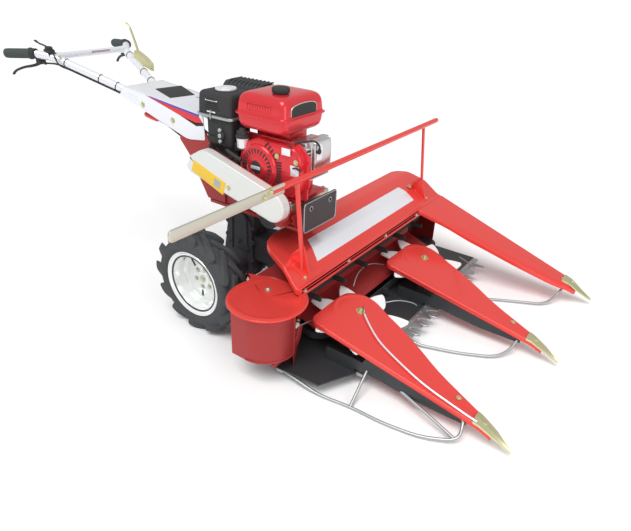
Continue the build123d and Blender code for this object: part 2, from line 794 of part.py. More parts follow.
def divider_skids():
    near = joined([rod(points, SKID_R) for points in SKIDS])
    near = near + box((424, 456), (-340, -320), (30, FLOOR_Z)) - side_plate(STAR_Y[0])
    shifted = []
    for points, y0 in ((MID_SKID, STAR_Y[1]), (FAR_SKID, HEADER_LEFT)):
        x, y, z = points[0]
        body = rod([(px, py + y0, pz) for px, py, pz in points], SKID_R)
        shifted.append(body + box((x - 12, x + 12), (y + y0 - 10, y + y0 + 10), (32, FLOOR_Z)))
    middle = shifted[0] - side_plate(STAR_Y[1])
    far = shifted[1] - far_divider_cover()
    return Compound([s for body in (near, middle, far) for s in body.solids()])


# Cutter
def knife_guards():
    rail = box((CUT_X, CUT_X + 26), (-200, HEADER_LEFT - 4), (FLOOR_Z - 5, FLOOR_Z + FLOOR_T))
    fingers = []
    y = -170.0
    while y < HEADER_LEFT - 10:
        tip = [(CUT_X + 26, y - 12), (CUT_X + 78, y - 3), (CUT_X + 78, y + 3), (CUT_X + 26, y + 12)]
        fingers.append(slab_xy(tip, FLOOR_Z - 5, FLOOR_Z + FLOOR_T))
        y = y + KNIFE_PITCH
    return joined([rail, *fingers])


def knife_bar():
    z = FLOOR_Z + FLOOR_T + KNIFE_GAP
    back = box((CUT_X + 3, CUT_X + 21), KNIFE_Y, (z, z + 5))
    y = KNIFE_Y[0]
    blades = []
    while y + KNIFE_PITCH <= KNIFE_Y[1] + 1:
        heel = [(CUT_X + 20, y + 1), (CUT_X + 20, y + KNIFE_PITCH - 1)]
        blades.append(slab_xy([*heel, (CUT_X + 64, y + 45), (CUT_X + 64, y + 31)], z, z + 2.5))
        y = y + KNIFE_PITCH
    return joined([back, *blades])


# Guide rail over the header
def guide_bar():
    tube = round_y(BAR_X, BAR_Z, BAR_R, -235, BAR_LEFT)
    flat = box((BAR_X - 5, BAR_X + 5), (-301, -228), (BAR_Z - 15, BAR_Z + 15))
    return tube + flat


def guide_extension():
    return box((BAR_X + 5, BAR_X + 10), (BAR_RIGHT, -240), (BAR_Z - 17, BAR_Z + 17))


def guide_posts():
    solids = []
    for y in POST_Y:
        lean = [(394, 346.5), (418, 329.9), (384, BAR_Z), (360, BAR_Z)]
        post = slab_xz(lean, y - 5, y + 5)
        base = [(372, 361.7), (432, 320.3), (432, 324.3), (372, 365.7)]
        foot = slab_xz(base, y - 20, y + 24)
        gusset = slab_xz([(374, 362), (430, 323), (400, 405), (392, 405)], y + 5, y + 9)
        body = post + foot + gusset
        body = body - round_y(BAR_X, BAR_Z, BAR_R, y - 20, y + 20)
        solids.append(body - header_cover_core())
    return Compound([s for body in solids for s in body.solids()])


def header_cover_core():
    points = [(x, z) for x, z in HEADER_PROFILE[1:]]
    low = [(x, z - 60) for x, z in reversed(points)]
    return slab_xz(points + low, -240, HEADER_LEFT - 10)


NODES = {
    "rim_right": (wheel_rim, -1),
    "tyre_right": (tyre, -1),
    "rim_left": (wheel_rim, 1),
    "tyre_left": (tyre, 1),
}
for name, (make, side) in NODES.items():
    export_step(Pos(-MID_X, -MID_Y, 0) * place_wheel(make(), side), f"parts/{name}.step")

PLAIN = {
    "gearbox_case": gearbox_case,
    "header_mount": header_mount,
    "bed_frame": bed_frame,
    "engine_rails": engine_rails,
    "front_plate": front_plate,
    "engine_block": engine_block,
    "cylinder_head": cylinder_head,
    "fan_cover": fan_cover,
    "recoil_starter": recoil_starter,
    "fuel_tank": fuel_tank,
    "fuel_cap": fuel_cap,
    "air_cleaner": air_cleaner,
    "control_box": control_box,
    "muffler": muffler,
    "belt_cover": belt_cover,
    "belt_back_plate": belt_back_plate,
    "drive_pulley": drive_pulley,
    "console": console,
    "handle_tubes": lambda: both(handle_tube()),
    "crossbar": crossbar,
    "hand_grips": hand_grips,
    "hand_levers": hand_levers,
    "throttle_lever": throttle_lever,
    "tall_lever": tall_lever,
    "control_cables": control_cables,
    "gear_rod": gear_rod,
    "header_frame": header_frame,
    "header_floor": header_floor,
    "header_cover": header_cover,
    "end_cover": end_cover,
    "end_guard": end_guard,
    "upper_belt": upper_belt,
    "lower_belt": lower_belt,
    "belt_drums": belt_drums,
    "divider_cover_right": lambda: divider_cover(STAR_Y[0]),
    "divider_cover_middle": lambda: divider_cover(STAR_Y[1]),
    "divider_cover_left": far_divider_cover,
    "divider_tips": divider_tips,
    "divider_frames": divider_frames,
    "divider_skids": divider_skids,
    "knife_guards": knife_guards,
    "knife_bar": knife_bar,
    "guide_bar": guide_bar,
    "guide_extension": guide_extension,
    "guide_posts": guide_posts,
    "star_wheel_right": lambda: star_wheel(STAR_Y[0], 40.0),
    "star_wheel_middle": lambda: star_wheel(STAR_Y[1], 50.0),
}
for name, make in PLAIN.items():
    export_step(Pos(-MID_X, -MID_Y, 0) * make(), f"parts/{name}.step")
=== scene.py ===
import json
import math

import bmesh
import bpy
import numpy as np
from bpy.props import BoolProperty, FloatProperty, FloatVectorProperty, IntProperty, PointerProperty
from bpy.types import Operator, Panel, PropertyGroup
from mathutils import Matrix, Vector


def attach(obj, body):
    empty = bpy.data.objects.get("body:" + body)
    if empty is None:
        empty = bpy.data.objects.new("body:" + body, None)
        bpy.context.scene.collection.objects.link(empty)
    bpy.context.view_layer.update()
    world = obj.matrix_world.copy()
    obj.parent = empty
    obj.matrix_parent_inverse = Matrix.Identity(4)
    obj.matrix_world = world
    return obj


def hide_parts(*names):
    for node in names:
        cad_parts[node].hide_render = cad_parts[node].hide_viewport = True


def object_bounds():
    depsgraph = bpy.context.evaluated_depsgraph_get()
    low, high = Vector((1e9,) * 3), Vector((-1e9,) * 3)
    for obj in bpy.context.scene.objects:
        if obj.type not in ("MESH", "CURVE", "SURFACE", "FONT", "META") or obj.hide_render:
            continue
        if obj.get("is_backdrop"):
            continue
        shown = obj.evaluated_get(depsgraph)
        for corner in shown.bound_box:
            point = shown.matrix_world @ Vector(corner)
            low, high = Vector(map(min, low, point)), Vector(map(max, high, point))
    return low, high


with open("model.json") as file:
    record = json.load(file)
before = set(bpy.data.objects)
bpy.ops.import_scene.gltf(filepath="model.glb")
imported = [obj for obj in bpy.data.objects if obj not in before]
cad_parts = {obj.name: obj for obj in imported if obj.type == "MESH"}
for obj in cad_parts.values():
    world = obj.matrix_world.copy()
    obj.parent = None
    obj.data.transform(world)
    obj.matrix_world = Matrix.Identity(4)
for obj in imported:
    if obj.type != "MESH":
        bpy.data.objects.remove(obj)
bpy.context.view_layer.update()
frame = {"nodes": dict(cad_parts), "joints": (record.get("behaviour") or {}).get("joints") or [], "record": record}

bl_info = {
    "name": "Walk-behind reaper",
    "version": (1, 0, 0),
    "blender": (4, 5, 0),
    "location": "3D View > Sidebar > Reaper",
    "description": "Builds the visible pieces and finishes of a walk-behind reaper",
    "category": "Add Mesh",
}

JOINTS = {joint["name"]: joint for joint in frame["joints"]}
TRACK_HALF = 263.5
WHEEL_R = 200.0
HUB = JOINTS["wheel_right_spin"]["pos_m"]
SHIFT = np.array([-HUB[0] * 1000, -HUB[1] * 1000 - TRACK_HALF, 0.0])
X, Y, Z = np.eye(3)
FLAT = (np.zeros(3), X, Y)
HEX_CORNER = 0.577


# Numbers in the piece functions are mm in the machine's own frame: X ahead, Y to the left, Z up,
# measured from the middle of the axle line on the ground.
def to_row(points):
    """Machine mm to row metres: take off the shift to the middle of the box, then divide by 1000."""
    return (np.asarray(points, float) - SHIFT) / 1000.0


# Shapes of lines and loops
def rounded_loop(points, radius, steps=6):
    """A closed outline: each corner b becomes (1-t)^2 s + 2t(1-t) b + t^2 e, s and e a radius from it."""
    p = np.asarray(points, float)
    back, ahead = np.roll(p, 1, 0) - p, np.roll(p, -1, 0) - p
    len_back, len_ahead = np.linalg.norm(back, axis=1), np.linalg.norm(ahead, axis=1)
    r = np.broadcast_to(np.asarray(radius, float), (len(p),))
    s = p + back * (np.minimum(r, len_back * 0.48) / len_back)[:, None]
    e = p + ahead * (np.minimum(r, len_ahead * 0.48) / len_ahead)[:, None]
    t = np.linspace(0, 1, steps)[None, :, None]
    curve = (1 - t) ** 2 * s[:, None] + 2 * t * (1 - t) * p[:, None] + t**2 * e[:, None]
    return curve.reshape(-1, p.shape[1])


def rounded_path(points, radius, steps=6):
    """An open line with its inner corners rounded in the same way."""
    p = np.asarray(points, float)
    if len(p) < 3:
        return p
    curve = rounded_loop(p, radius, steps).reshape(len(p), steps, -1)[1:-1].reshape(-1, p.shape[1])
    return np.concatenate([p[:1], curve, p[-1:]])


def spread(loop, step, closed=True):
    """The same line with points added wherever two of them are further apart than the step."""
    p = np.asarray(loop, float)
    q = np.concatenate([p, p[:1]]) if closed else p
    run = np.concatenate([[0], np.cumsum(np.linalg.norm(np.diff(q, axis=0), axis=1))])
    keep = np.unique(np.round(np.concatenate([run, np.linspace(0, run[-1], int(run[-1] / step) + 2)]), 2))
    keep = keep[np.concatenate([[True], np.diff(keep) > step * 0.04])]
    if closed:
        keep = keep[:-1] if run[-1] - keep[-1] < step * 0.04 else keep
    return np.stack([np.interp(keep, run, q[:, k]) for k in range(q.shape[1])], -1)


def inset(loop, dist):
    """Every point of a loop that runs anticlockwise, moved inward along the loop's own cross direction."""
    tangent = np.roll(loop, -1, 0) - np.roll(loop, 1, 0)
    normal = np.stack([-tangent[:, 1], tangent[:, 0]], -1)
    return loop + normal / np.maximum(np.linalg.norm(normal, axis=1), 1e-9)[:, None] * dist


def arc(cx, cy, radius, start, end, steps=12):
    """Points on a circle from the start angle to the end angle, in degrees."""
    t = np.radians(np.linspace(start, end, steps))
    return np.stack([cx + radius * np.cos(t), cy + radius * np.sin(t)], -1)


def ramp(value, low, high):
    """A soft step 3t^2 - 2t^3 from 0 at low to 1 at high."""
    t = np.clip((value - low) / (high - low), 0, 1)
    return t * t * (3 - 2 * t)


def bend(x, profile, soft=7.0):
    """Height of a folded sheet at x, with each fold softened over a short width."""
    px, pz = np.asarray(profile, float).T
    return sum(np.interp(x + k * soft, px, pz) for k in (-1, -0.5, 0, 0.5, 1)) / 5


def turn_frame(axis):
    """Three unit vectors: two across the axis and the axis itself."""
    w = np.asarray(axis, float) / np.linalg.norm(axis)
    u = np.cross(Z if abs(w[2]) < 0.9 else X, w)
    u = u / np.linalg.norm(u)
    return u, np.cross(w, u), w


class Shell:
    """Collects grids of points in machine mm, and the quads between them, for one mesh."""

    def __init__(self):
        self.points = []
        self.faces = []
        self.count = 0

    def surface(self, grid, wrap_rows=False, wrap_cols=True, caps=True):
        """Quads over a grid of points, wrapped where it closes, with a cap on its first and last row."""
        rows, cols = grid.shape[:2]
        r = np.arange(rows if wrap_rows else rows - 1)
        c = np.arange(cols if wrap_cols else cols - 1)
        i, j = np.meshgrid(r, c, indexing="ij")
        i2, j2 = (i + 1) % rows, (j + 1) % cols
        quads = np.stack([i * cols + j, i * cols + j2, i2 * cols + j2, i2 * cols + j], -1).reshape(-1, 4)
        self.faces.extend((quads + self.count).tolist())
        if caps and not wrap_rows:
            ends = np.arange(cols)
            self.faces.append((ends[::-1] + self.count).tolist())
            self.faces.append((ends + (rows - 1) * cols + self.count).tolist())
        self.points.append(grid.reshape(-1, 3))
        self.count += rows * cols
        return self

    def spun(self, profile, centre, axis, sides=48, closed=False, ribs=0, rib=0.0):
        """Each pair (r, h) goes round the axis: c + r (cos t u + sin t v) + h w, with r waved by ribs."""
        u, v, w = turn_frame(axis)
        prof = np.asarray(profile, float)
        t = np.linspace(0, 2 * np.pi, sides, endpoint=False)
        circle = np.cos(t)[:, None] * u + np.sin(t)[:, None] * v
        r = prof[:, :1] * (1 + rib * np.cos(ribs * t))
        grid = r[..., None] * circle + prof[:, 1, None, None] * w + np.asarray(centre, float)
        return self.surface(grid, wrap_rows=closed)

    def tube(self, path, wide, tall=None, sides=12, up=Z, square=1.0):
        """An oval, or a soft box where square is below 1, carried along a line: p + a cos t u + b sin t v."""
        path = np.asarray(path, float)
        d = np.gradient(path, axis=0)
        d = d / np.maximum(np.linalg.norm(d, axis=1), 1e-9)[:, None]
        u = np.cross(up, d)
        u = u / np.maximum(np.linalg.norm(u, axis=1), 1e-9)[:, None]
        v = np.cross(d, u)
        a = np.broadcast_to(np.asarray(wide, float), (len(path),))[:, None, None]
        b = np.broadcast_to(np.asarray(wide if tall is None else tall, float), (len(path),))[:, None, None]
        t = np.linspace(0, 2 * np.pi, sides, endpoint=False)
        ct = (np.sign(np.cos(t)) * np.abs(np.cos(t)) ** square)[None, :, None]
        st = (np.sign(np.sin(t)) * np.abs(np.sin(t)) ** square)[None, :, None]
        return self.surface(path[:, None] + a * ct * u[:, None] + b * st * v[:, None])

    def cushion(self, loop, base, top, edge=1.0, place=FLAT, spine=None, rings=1, sheet=0.0, step=0.0):
        """A plate or pressed sheet inside a closed outline. Rings run from the spine, s + k (p - s), outward,
        the edge rolls over as an arc, and the wall goes down from the top height to the base height."""
        loop = np.asarray(loop, float)
        if step:
            loop = spread(loop, step)
        nxt = np.roll(loop, -1, 0)
        if np.sum(loop[:, 0] * nxt[:, 1] - nxt[:, 0] * loop[:, 1]) < 0:
            loop = loop[::-1]
        upper = top if callable(top) else lambda p: np.full(len(p), float(top))
        lower = base if callable(base) else lambda p: np.full(len(p), float(base))
        a, b = (loop.mean(0),) * 2 if spine is None else np.asarray(spine, float)
        along = b - a
        share = np.clip((loop - a) @ along / max(along @ along, 1e-9), 0, 1)[:, None]
        core = a + share * along
        shares = np.linspace(0.04, 1, rings + 1)
        rows = []
        for k in shares:
            p = core + k * (inset(loop, edge) - core)
            rows.append((p, upper(p)))
        for t in np.radians((30, 60, 90)):
            p = inset(loop, edge * (1 - math.sin(t)))
            rows.append((p, upper(p) - edge * (1 - math.cos(t))))
        if sheet:
            p = inset(loop, sheet)
            rows.append((loop, lower(loop)))
            rows.append((p, lower(p)))
            for k in shares[::-1]:
                p = core + k * (inset(loop, edge + sheet) - core)
                rows.append((p, upper(p) - sheet))
        else:
            for k in (1, 0.04):
                p = core + k * (loop - core)
                rows.append((p, lower(p)))
        o, u, v = (np.asarray(k, float) for k in place)
        w = np.cross(u, v)
        grid = np.stack([o + p[:, :1] * u + p[:, 1:] * v + h[:, None] * w for p, h in rows])
        return self.surface(grid)

    def block(self, low, high, edge=1.0, corner=None, up="z"):
        """A box with rounded corners and edges, standing on the side that up names."""
        lo, hi = np.minimum(low, high), np.maximum(low, high)
        u, v, w = {"z": (0, 1, 2), "x": (1, 2, 0), "y": (2, 0, 1)}[up]
        pts = [(lo[u], lo[v]), (hi[u], lo[v]), (hi[u], hi[v]), (lo[u], hi[v])]
        loop = rounded_loop(pts, edge if corner is None else corner, 4)
        axes = np.eye(3)
        return self.cushion(loop, lo[w], hi[w], edge, (np.zeros(3), axes[u], axes[v]))

    def bolt(self, centre, axis, across=13.0, height=6.0):
        """A hexagonal head with a chamfered top, on a round washer."""
        r = across * HEX_CORNER
        self.spun([(across * 0.85, 0), (across * 0.85, 1.5), (r * 0.5, 1.6)], centre, axis, 18)
        return self.spun([(r, 1.4), (r, height - 1), (r * 0.84, height)], centre, axis, 6)

    def mirror(self):
        """The same pieces again on the other side of the middle plane, Y turned to -Y."""
        self.faces.extend([[k + self.count for k in face[::-1]] for face in self.faces])
        self.points.append(np.concatenate(self.points) * (1, -1, 1))
        self.count *= 2
        return self


# Two finishes are only paint marks on a piece, so their pieces belong to the slot of the paint beneath
SLOT_OF = {"yellow_label": "cream_paint", "blue_band": "white_paint"}


def piece(name, shell, slot, smooth=35.0, replaces=(), body="chassis"):
    """Make the mesh, close its seams, turn its faces outward, and give it its finish and body."""
    finish, slot = slot, SLOT_OF.get(slot, slot)
    mesh = bpy.data.meshes.new(name)
    mesh.from_pydata(to_row(np.concatenate(shell.points)).tolist(), [], shell.faces)
    mesh.update()
    work = bmesh.new()
    work.from_mesh(mesh)
    bmesh.ops.remove_doubles(work, verts=work.verts, dist=1e-6)
    bmesh.ops.dissolve_degenerate(work, edges=work.edges, dist=1e-7)
    bmesh.ops.recalc_face_normals(work, faces=work.faces)
    work.to_mesh(mesh)
    work.free()
    mesh.shade_smooth()
    mesh.set_sharp_from_angle(angle=math.radians(smooth))
    mesh.materials.append(bpy.data.materials[finish])
    obj = bpy.data.objects.new(name, mesh)
    bpy.context.scene.collection.objects.link(obj)
    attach(obj, body)
    if replaces:
        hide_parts(*replaces)
    return obj


# Finishes
GREY = (0.5, 0.5, 0.5, 1)
SOCKETS = {1: "NodeSocketFloat", 3: "NodeSocketVector", 4: "NodeSocketColor"}


def new_group(name, inputs, outputs):
    """An empty shader group; the size of a default, or an output's number, gives the kind of socket."""
    group = bpy.data.node_groups.new(name, "ShaderNodeTree")
    for label, default in inputs.items():
        socket = group.interface.new_socket(label, in_out="INPUT", socket_type=SOCKETS[np.size(default)])
        socket.default_value = default
    for label, size in outputs.items():
        group.interface.new_socket(label, in_out="OUTPUT", socket_type=SOCKETS[size])
    return group, group.nodes.new("NodeGroupInput"), group.nodes.new("NodeGroupOutput")


def noise_over(group, given, detail, roughness=0.5, stretch=None):
    """A noise in the piece's own coordinates, with the group's Scale; stretch squeezes it along an axis."""
    source = group.nodes.new("ShaderNodeTexCoord").outputs["Object"]
    if stretch:
        turn = group.nodes.new("ShaderNodeVectorMath")
        turn.operation = "MULTIPLY"
        group.links.new(source, turn.inputs[0])
        group.links.new(stretch, turn.inputs[1])
        source = turn.outputs["Vector"]
    noise = group.nodes.new("ShaderNodeTexNoise")
    noise.inputs["Detail"].default_value = detail
    noise.inputs["Roughness"].default_value = roughness
    group.links.new(source, noise.inputs["Vector"])
    group.links.new(given.outputs["Scale"], noise.inputs["Scale"])
    return noise.outputs["Fac"]


def between(group, value, low, high):
    """A mask that runs from 0 at low to 1 at high."""
    node = group.nodes.new("ShaderNodeMapRange")
    node.inputs["From Min"].default_value = low
    node.inputs["From Max"].default_value = high
    group.links.new(value, node.inputs["Value"])
    return node


def times(group, first, second):
    """The product of two sockets."""
    node = group.nodes.new("ShaderNodeMath")
    node.operation = "MULTIPLY"
    group.links.new(first, node.inputs[0])
    group.links.new(second, node.inputs[1])
    return node.outputs["Value"]


def mixed(group, mask, first, second):
    """One colour laid over another by a mask."""
    node = group.nodes.new("ShaderNodeMix")
    node.data_type = "RGBA"
    group.links.new(mask, node.inputs["Factor"])
    group.links.new(first, node.inputs["A"])
    group.links.new(second, node.inputs["B"])
    return node.outputs["Result"]


def put_out(group, made, results):
    """Join the results to the group's outputs and hand the group back."""
    for label, socket in results.items():
        group.links.new(socket, made.inputs[label])
    return group


def mottle_group():
    """Colour that drifts between two shades with a soft noise, and a roughness that drifts with it."""
    inputs = {
        "Colour": GREY, "Shade": (0.4, 0.4, 0.4, 1), "Scale": 12.0, "Low Rough": 0.3, "High Rough": 0.5
    }
    group, given, made = new_group("Mottle", inputs, {"Colour": 4, "Roughness": 1, "Mask": 1})
    noise = noise_over(group, given, 5)
    mask = between(group, noise, 0.35, 0.7).outputs["Result"]
    rough = between(group, noise, 0.3, 0.7)
    group.links.new(given.outputs["Low Rough"], rough.inputs["To Min"])
    group.links.new(given.outputs["High Rough"], rough.inputs["To Max"])
    colour = mixed(group, mask, given.outputs["Colour"], given.outputs["Shade"])
    return put_out(group, made, {"Colour": colour, "Roughness": rough.outputs["Result"], "Mask": mask})


def dust_group():
    """A little field dust in a sparse noise, mixed over the colour."""
    inputs = {"Colour": GREY, "Dust Colour": (0.42, 0.36, 0.28, 1), "Amount": 0.15, "Scale": 30.0}
    group, given, made = new_group("Dust", inputs, {"Colour": 4, "Mask": 1})
    patches = between(group, noise_over(group, given, 8, 0.7), 0.45, 0.75).outputs["Result"]
    mask = times(group, patches, given.outputs["Amount"])
    colour = mixed(group, mask, given.outputs["Colour"], given.outputs["Dust Colour"])
    return put_out(group, made, {"Colour": colour, "Mask": mask})


def grain_group():
    """Fine bumps: a noise, or brushed lines where Stretch squeezes it along an axis, turned into a normal."""
    inputs = {"Scale": 200.0, "Strength": 0.1, "Stretch": (1.0, 1.0, 1.0)}
    group, given, made = new_group("Grain", inputs, {"Normal": 3, "Height": 1})
    height = noise_over(group, given, 3, stretch=given.outputs["Stretch"])
    bump = group.nodes.new("ShaderNodeBump")
    bump.inputs["Distance"].default_value = 0.001
    group.links.new(height, bump.inputs["Height"])
    group.links.new(given.outputs["Strength"], bump.inputs["Strength"])
    return put_out(group, made, {"Normal": bump.outputs["Normal"], "Height": height})


def wear_group():
    """Paler paint where an edge stands out: pointiness times a broken noise, mixed over the colour."""
    inputs = {"Colour": GREY, "Wear Colour": GREY, "Amount": 0.5, "Scale": 60.0}
    group, given, made = new_group("Edge Wear", inputs, {"Colour": 4, "Mask": 1})
    pointed = group.nodes.new("ShaderNodeNewGeometry").outputs["Pointiness"]
    edge = between(group, pointed, 0.53, 0.62).outputs["Result"]
    broken = between(group, noise_over(group, given, 6), 0.42, 0.66).outputs["Result"]
    mask = times(group, times(group, edge, broken), given.outputs["Amount"])
    colour = mixed(group, mask, given.outputs["Colour"], given.outputs["Wear Colour"])
    return put_out(group, made, {"Colour": colour, "Mask": mask})


# name: colour, shade, mottle scale, (low, high rough), metallic, coat, dust, (grain scale, strength)
FINISHES = {
    "red_paint": ((0.82, 0.01, 0.014), (0.7, 0.007, 0.011), 6, (0.28, 0.44), 0, 0.2, 0.03, (260, 0.1)),
    "dark_red_paint": ((0.3, 0.006, 0.008), (0.2, 0.004, 0.006), 9, (0.35, 0.55), 0, 0.1, 0.07, (240, 0.12)),
    "engine_red": ((0.48, 0.004, 0.01), (0.38, 0.003, 0.007), 8, (0.2, 0.34), 0, 0.3, 0.02, (300, 0.1)),
    "white_paint": ((0.78, 0.8, 0.88), (0.7, 0.73, 0.82), 7, (0.28, 0.42), 0, 0.3, 0.04, (260, 0.08)),
    "cream_paint": ((0.64, 0.68, 0.63), (0.56, 0.6, 0.56), 6, (0.34, 0.48), 0, 0.2, 0.06, (240, 0.08)),
    "black_paint": ((0.01, 0.01, 0.012), (0.02, 0.02, 0.021), 14, (0.38, 0.6), 0, 0.1, 0.04, (220, 0.2)),
    "cast_black": ((0.016, 0.016, 0.018), (0.03, 0.029, 0.028), 18, (0.5, 0.72), 0, 0, 0.04, (420, 0.5)),
    "zinc_steel": ((0.55, 0.54, 0.44), (0.42, 0.42, 0.36), 22, (0.34, 0.55), 0.75, 0, 0.1, (300, 0.2)),
    "yellow_zinc": ((0.62, 0.58, 0.27), (0.45, 0.5, 0.36), 26, (0.26, 0.45), 0.85, 0, 0.06, (300, 0.15)),
    "bare_steel": ((0.36, 0.37, 0.37), (0.24, 0.24, 0.24), 20, (0.34, 0.58), 0.85, 0, 0.1, (320, 0.2)),
    "alloy": ((0.5, 0.5, 0.49), (0.36, 0.36, 0.36), 24, (0.38, 0.6), 0.8, 0, 0.12, (500, 0.5)),
    "black_plastic": (
        (0.007, 0.007, 0.008), (0.013, 0.013, 0.014), 16, (0.38, 0.52), 0, 0, 0.015, (700, 0.18),
    ),
    "belt_rubber": ((0.018, 0.018, 0.018), (0.035, 0.033, 0.03), 20, (0.6, 0.8), 0, 0, 0.05, (500, 0.3)),
    "grip_rubber": ((0.022, 0.033, 0.03), (0.03, 0.04, 0.038), 20, (0.5, 0.66), 0, 0, 0.02, (500, 0.3)),
    "tyre_rubber": ((0.009, 0.01, 0.011), (0.019, 0.019, 0.019), 16, (0.6, 0.85), 0, 0, 0.02, (360, 0.35)),
    "rim_white": ((0.74, 0.78, 0.77), (0.64, 0.69, 0.68), 9, (0.3, 0.46), 0, 0.3, 0.1, (240, 0.1)),
    "yellow_label": ((0.85, 0.55, 0.02), (0.78, 0.5, 0.02), 9, (0.34, 0.46), 0, 0.2, 0.04, (260, 0.08)),
    "blue_band": ((0.03, 0.06, 0.5), (0.02, 0.05, 0.42), 9, (0.3, 0.42), 0, 0.3, 0.04, (260, 0.08)),
    "star_white": ((0.86, 0.86, 0.86), (0.78, 0.78, 0.78), 9, (0.32, 0.46), 0, 0.1, 0.06, (300, 0.08)),
}
BRUSHED = {"zinc_steel": (1, 0.1, 1), "yellow_zinc": (0.1, 1, 1)}


def make_finish(name, groups):
    """A Principled material whose colour, roughness and normal come from the four shared groups."""
    colour, shade, scale, rough, metal, coat, dust, grain = FINISHES[name]
    mat = bpy.data.materials.new(name)
    mat.use_nodes = True
    nodes, links = mat.node_tree.nodes, mat.node_tree.links
    shader = nodes["Principled BSDF"]
    shader.inputs["Metallic"].default_value = metal
    shader.inputs["Coat Weight"].default_value = coat
    shader.inputs["Coat Roughness"].default_value = 0.12
    shader.inputs["Specular IOR Level"].default_value = 0.5 if metal or coat else 0.14
    mottle, dusty, grainy, worn = (nodes.new("ShaderNodeGroup") for _ in groups)
    for node, group in zip((mottle, dusty, grainy, worn), groups):
        node.node_tree = group
    values = {
        mottle: {"Colour": (*colour, 1), "Shade": (*shade, 1), "Scale": scale, "Low Rough": rough[0],
                 "High Rough": rough[1]},
        worn: {"Wear Colour": (*(0.35 + 0.5 * np.array(colour)), 1), "Amount": 0.45},
        dusty: {"Amount": dust},
        grainy: {"Scale": grain[0], "Strength": grain[1], "Stretch": BRUSHED.get(name, (1, 1, 1))},
    }
    for node, settings in values.items():
        for label, value in settings.items():
            node.inputs[label].default_value = value
    links.new(mottle.outputs["Colour"], worn.inputs["Colour"])
    links.new(worn.outputs["Colour"], dusty.inputs["Colour"])
    links.new(dusty.outputs["Colour"], shader.inputs["Base Color"])
    links.new(mottle.outputs["Roughness"], shader.inputs["Roughness"])
    links.new(grainy.outputs["Normal"], shader.inputs["Normal"])


class REAPER_OT_finishes(Operator):
    """Make every finish and put it on the CAD nodes"""

    bl_idname = "reaper.finishes"
    bl_label = "Finishes"

    def execute(self, context):
        groups = (mottle_group(), dust_group(), grain_group(), wear_group())
        for name in FINISHES:
            make_finish(name, groups)
        for entry in frame["record"]["subparts"]:
            mesh = frame["nodes"][entry["node"]].data
            mesh.materials.clear()
            mesh.materials.append(bpy.data.materials[entry["material_slot"]])
        return {"FINISHED"}


# Wheels
LUG_ROW = 26.0
SHOULDER = 52.4


class ReaperWheels(PropertyGroup):
    """Sizes of the tyres' tread"""

    lugs: IntProperty(name="Lugs", description="Lugs on each side of a tyre", default=12, min=4, max=24)
    lug_length: FloatProperty(
        name="Lug length", description="Length of a lug in mm", default=132.0, min=40, max=180
    )
    lug_width: FloatProperty(
        name="Lug width", description="Width of a lug's top in mm", default=18.0, min=6, max=40
    )
    lug_turn: FloatProperty(
        name="Lug angle", description="Angle of a lug to the tread", default=math.radians(26),
        subtype="ANGLE"
    )
    tread: FloatProperty(
        name="Tread radius", description="Radius of the carcass in mm", default=187.0, min=150, max=198
    )


def wheel_place(grid, side):
    """Wheel points (x, y from the wheel's middle, z from the axle, outer side to -Y) set on a side."""
    out = np.array(grid, float)
    out[..., 1] = -side * out[..., 1] + side * TRACK_HALF
    out[..., 2] += WHEEL_R
    return out


def tyre(side, data):
    """Carcass: the section (r, y) spun round the axle. Lug: for a along it and b across it,
    x = a cos g - b sin g, y = a sin g + b cos g + k, set at the angle t + x / R, between carcass and tip."""
    shell = Shell()
    half = [
        (126, 43), (129, 46.5), (133, 48), (136, 47), (140, 50), (150, SHOULDER), (160, 51.5), (168, 48.5),
        (174, 44), (178.5, 37), (181.5, 24), (data.tread, 0)
    ]
    section = np.array(
        [(r, -y) for r, y in half] + [(r, y) for r, y in half[-2::-1]] + [(109, 42), (109, -42)]
    )
    t = np.linspace(0, 2 * np.pi, 96, endpoint=False)
    r, y = section[:, 0, None], section[:, 1, None] + 0 * t
    shell.surface(wheel_place(np.stack([r * np.sin(t), y, r * np.cos(t)], -1), side), wrap_rows=True)
    length, width = data.lug_length / 2, data.lug_width / 2
    a = np.concatenate([[-length], np.linspace(-length + 3, length - 3, 11), [length]])
    short = np.concatenate([[0.72], np.ones(11), [0.72]])
    cross = np.array([(-1.35, 0), (-1.05, 0.8), (-0.86, 1), (0, 1.02), (0.86, 1), (1.05, 0.8), (1.35, 0)])
    for row in (-1, 1):
        for k in range(data.lugs):
            turn = 2 * np.pi / data.lugs * (k + 0.25 * row)
            g = row * data.lug_turn
            b = cross[:, 0] * width
            x = a[:, None] * math.cos(g) - b * math.sin(g)
            yy = a[:, None] * math.sin(g) + b * math.cos(g) + row * LUG_ROW
            out = np.abs(yy)
            tip = WHEEL_R - 0.6 - 9 * ramp(out, 40, 54)
            root = 178 - 26 * ramp(out, 34, 53)
            rise = np.clip(cross[:, 1], 0, 1) * short[:, None]
            radius = root + (tip - root) * rise
            yy = np.clip(yy, -SHOULDER, SHOULDER)
            angle = turn + x / data.tread
            shell.surface(
                wheel_place(np.stack([radius * np.sin(angle), yy, radius * np.cos(angle)], -1), side)
            )
    return shell


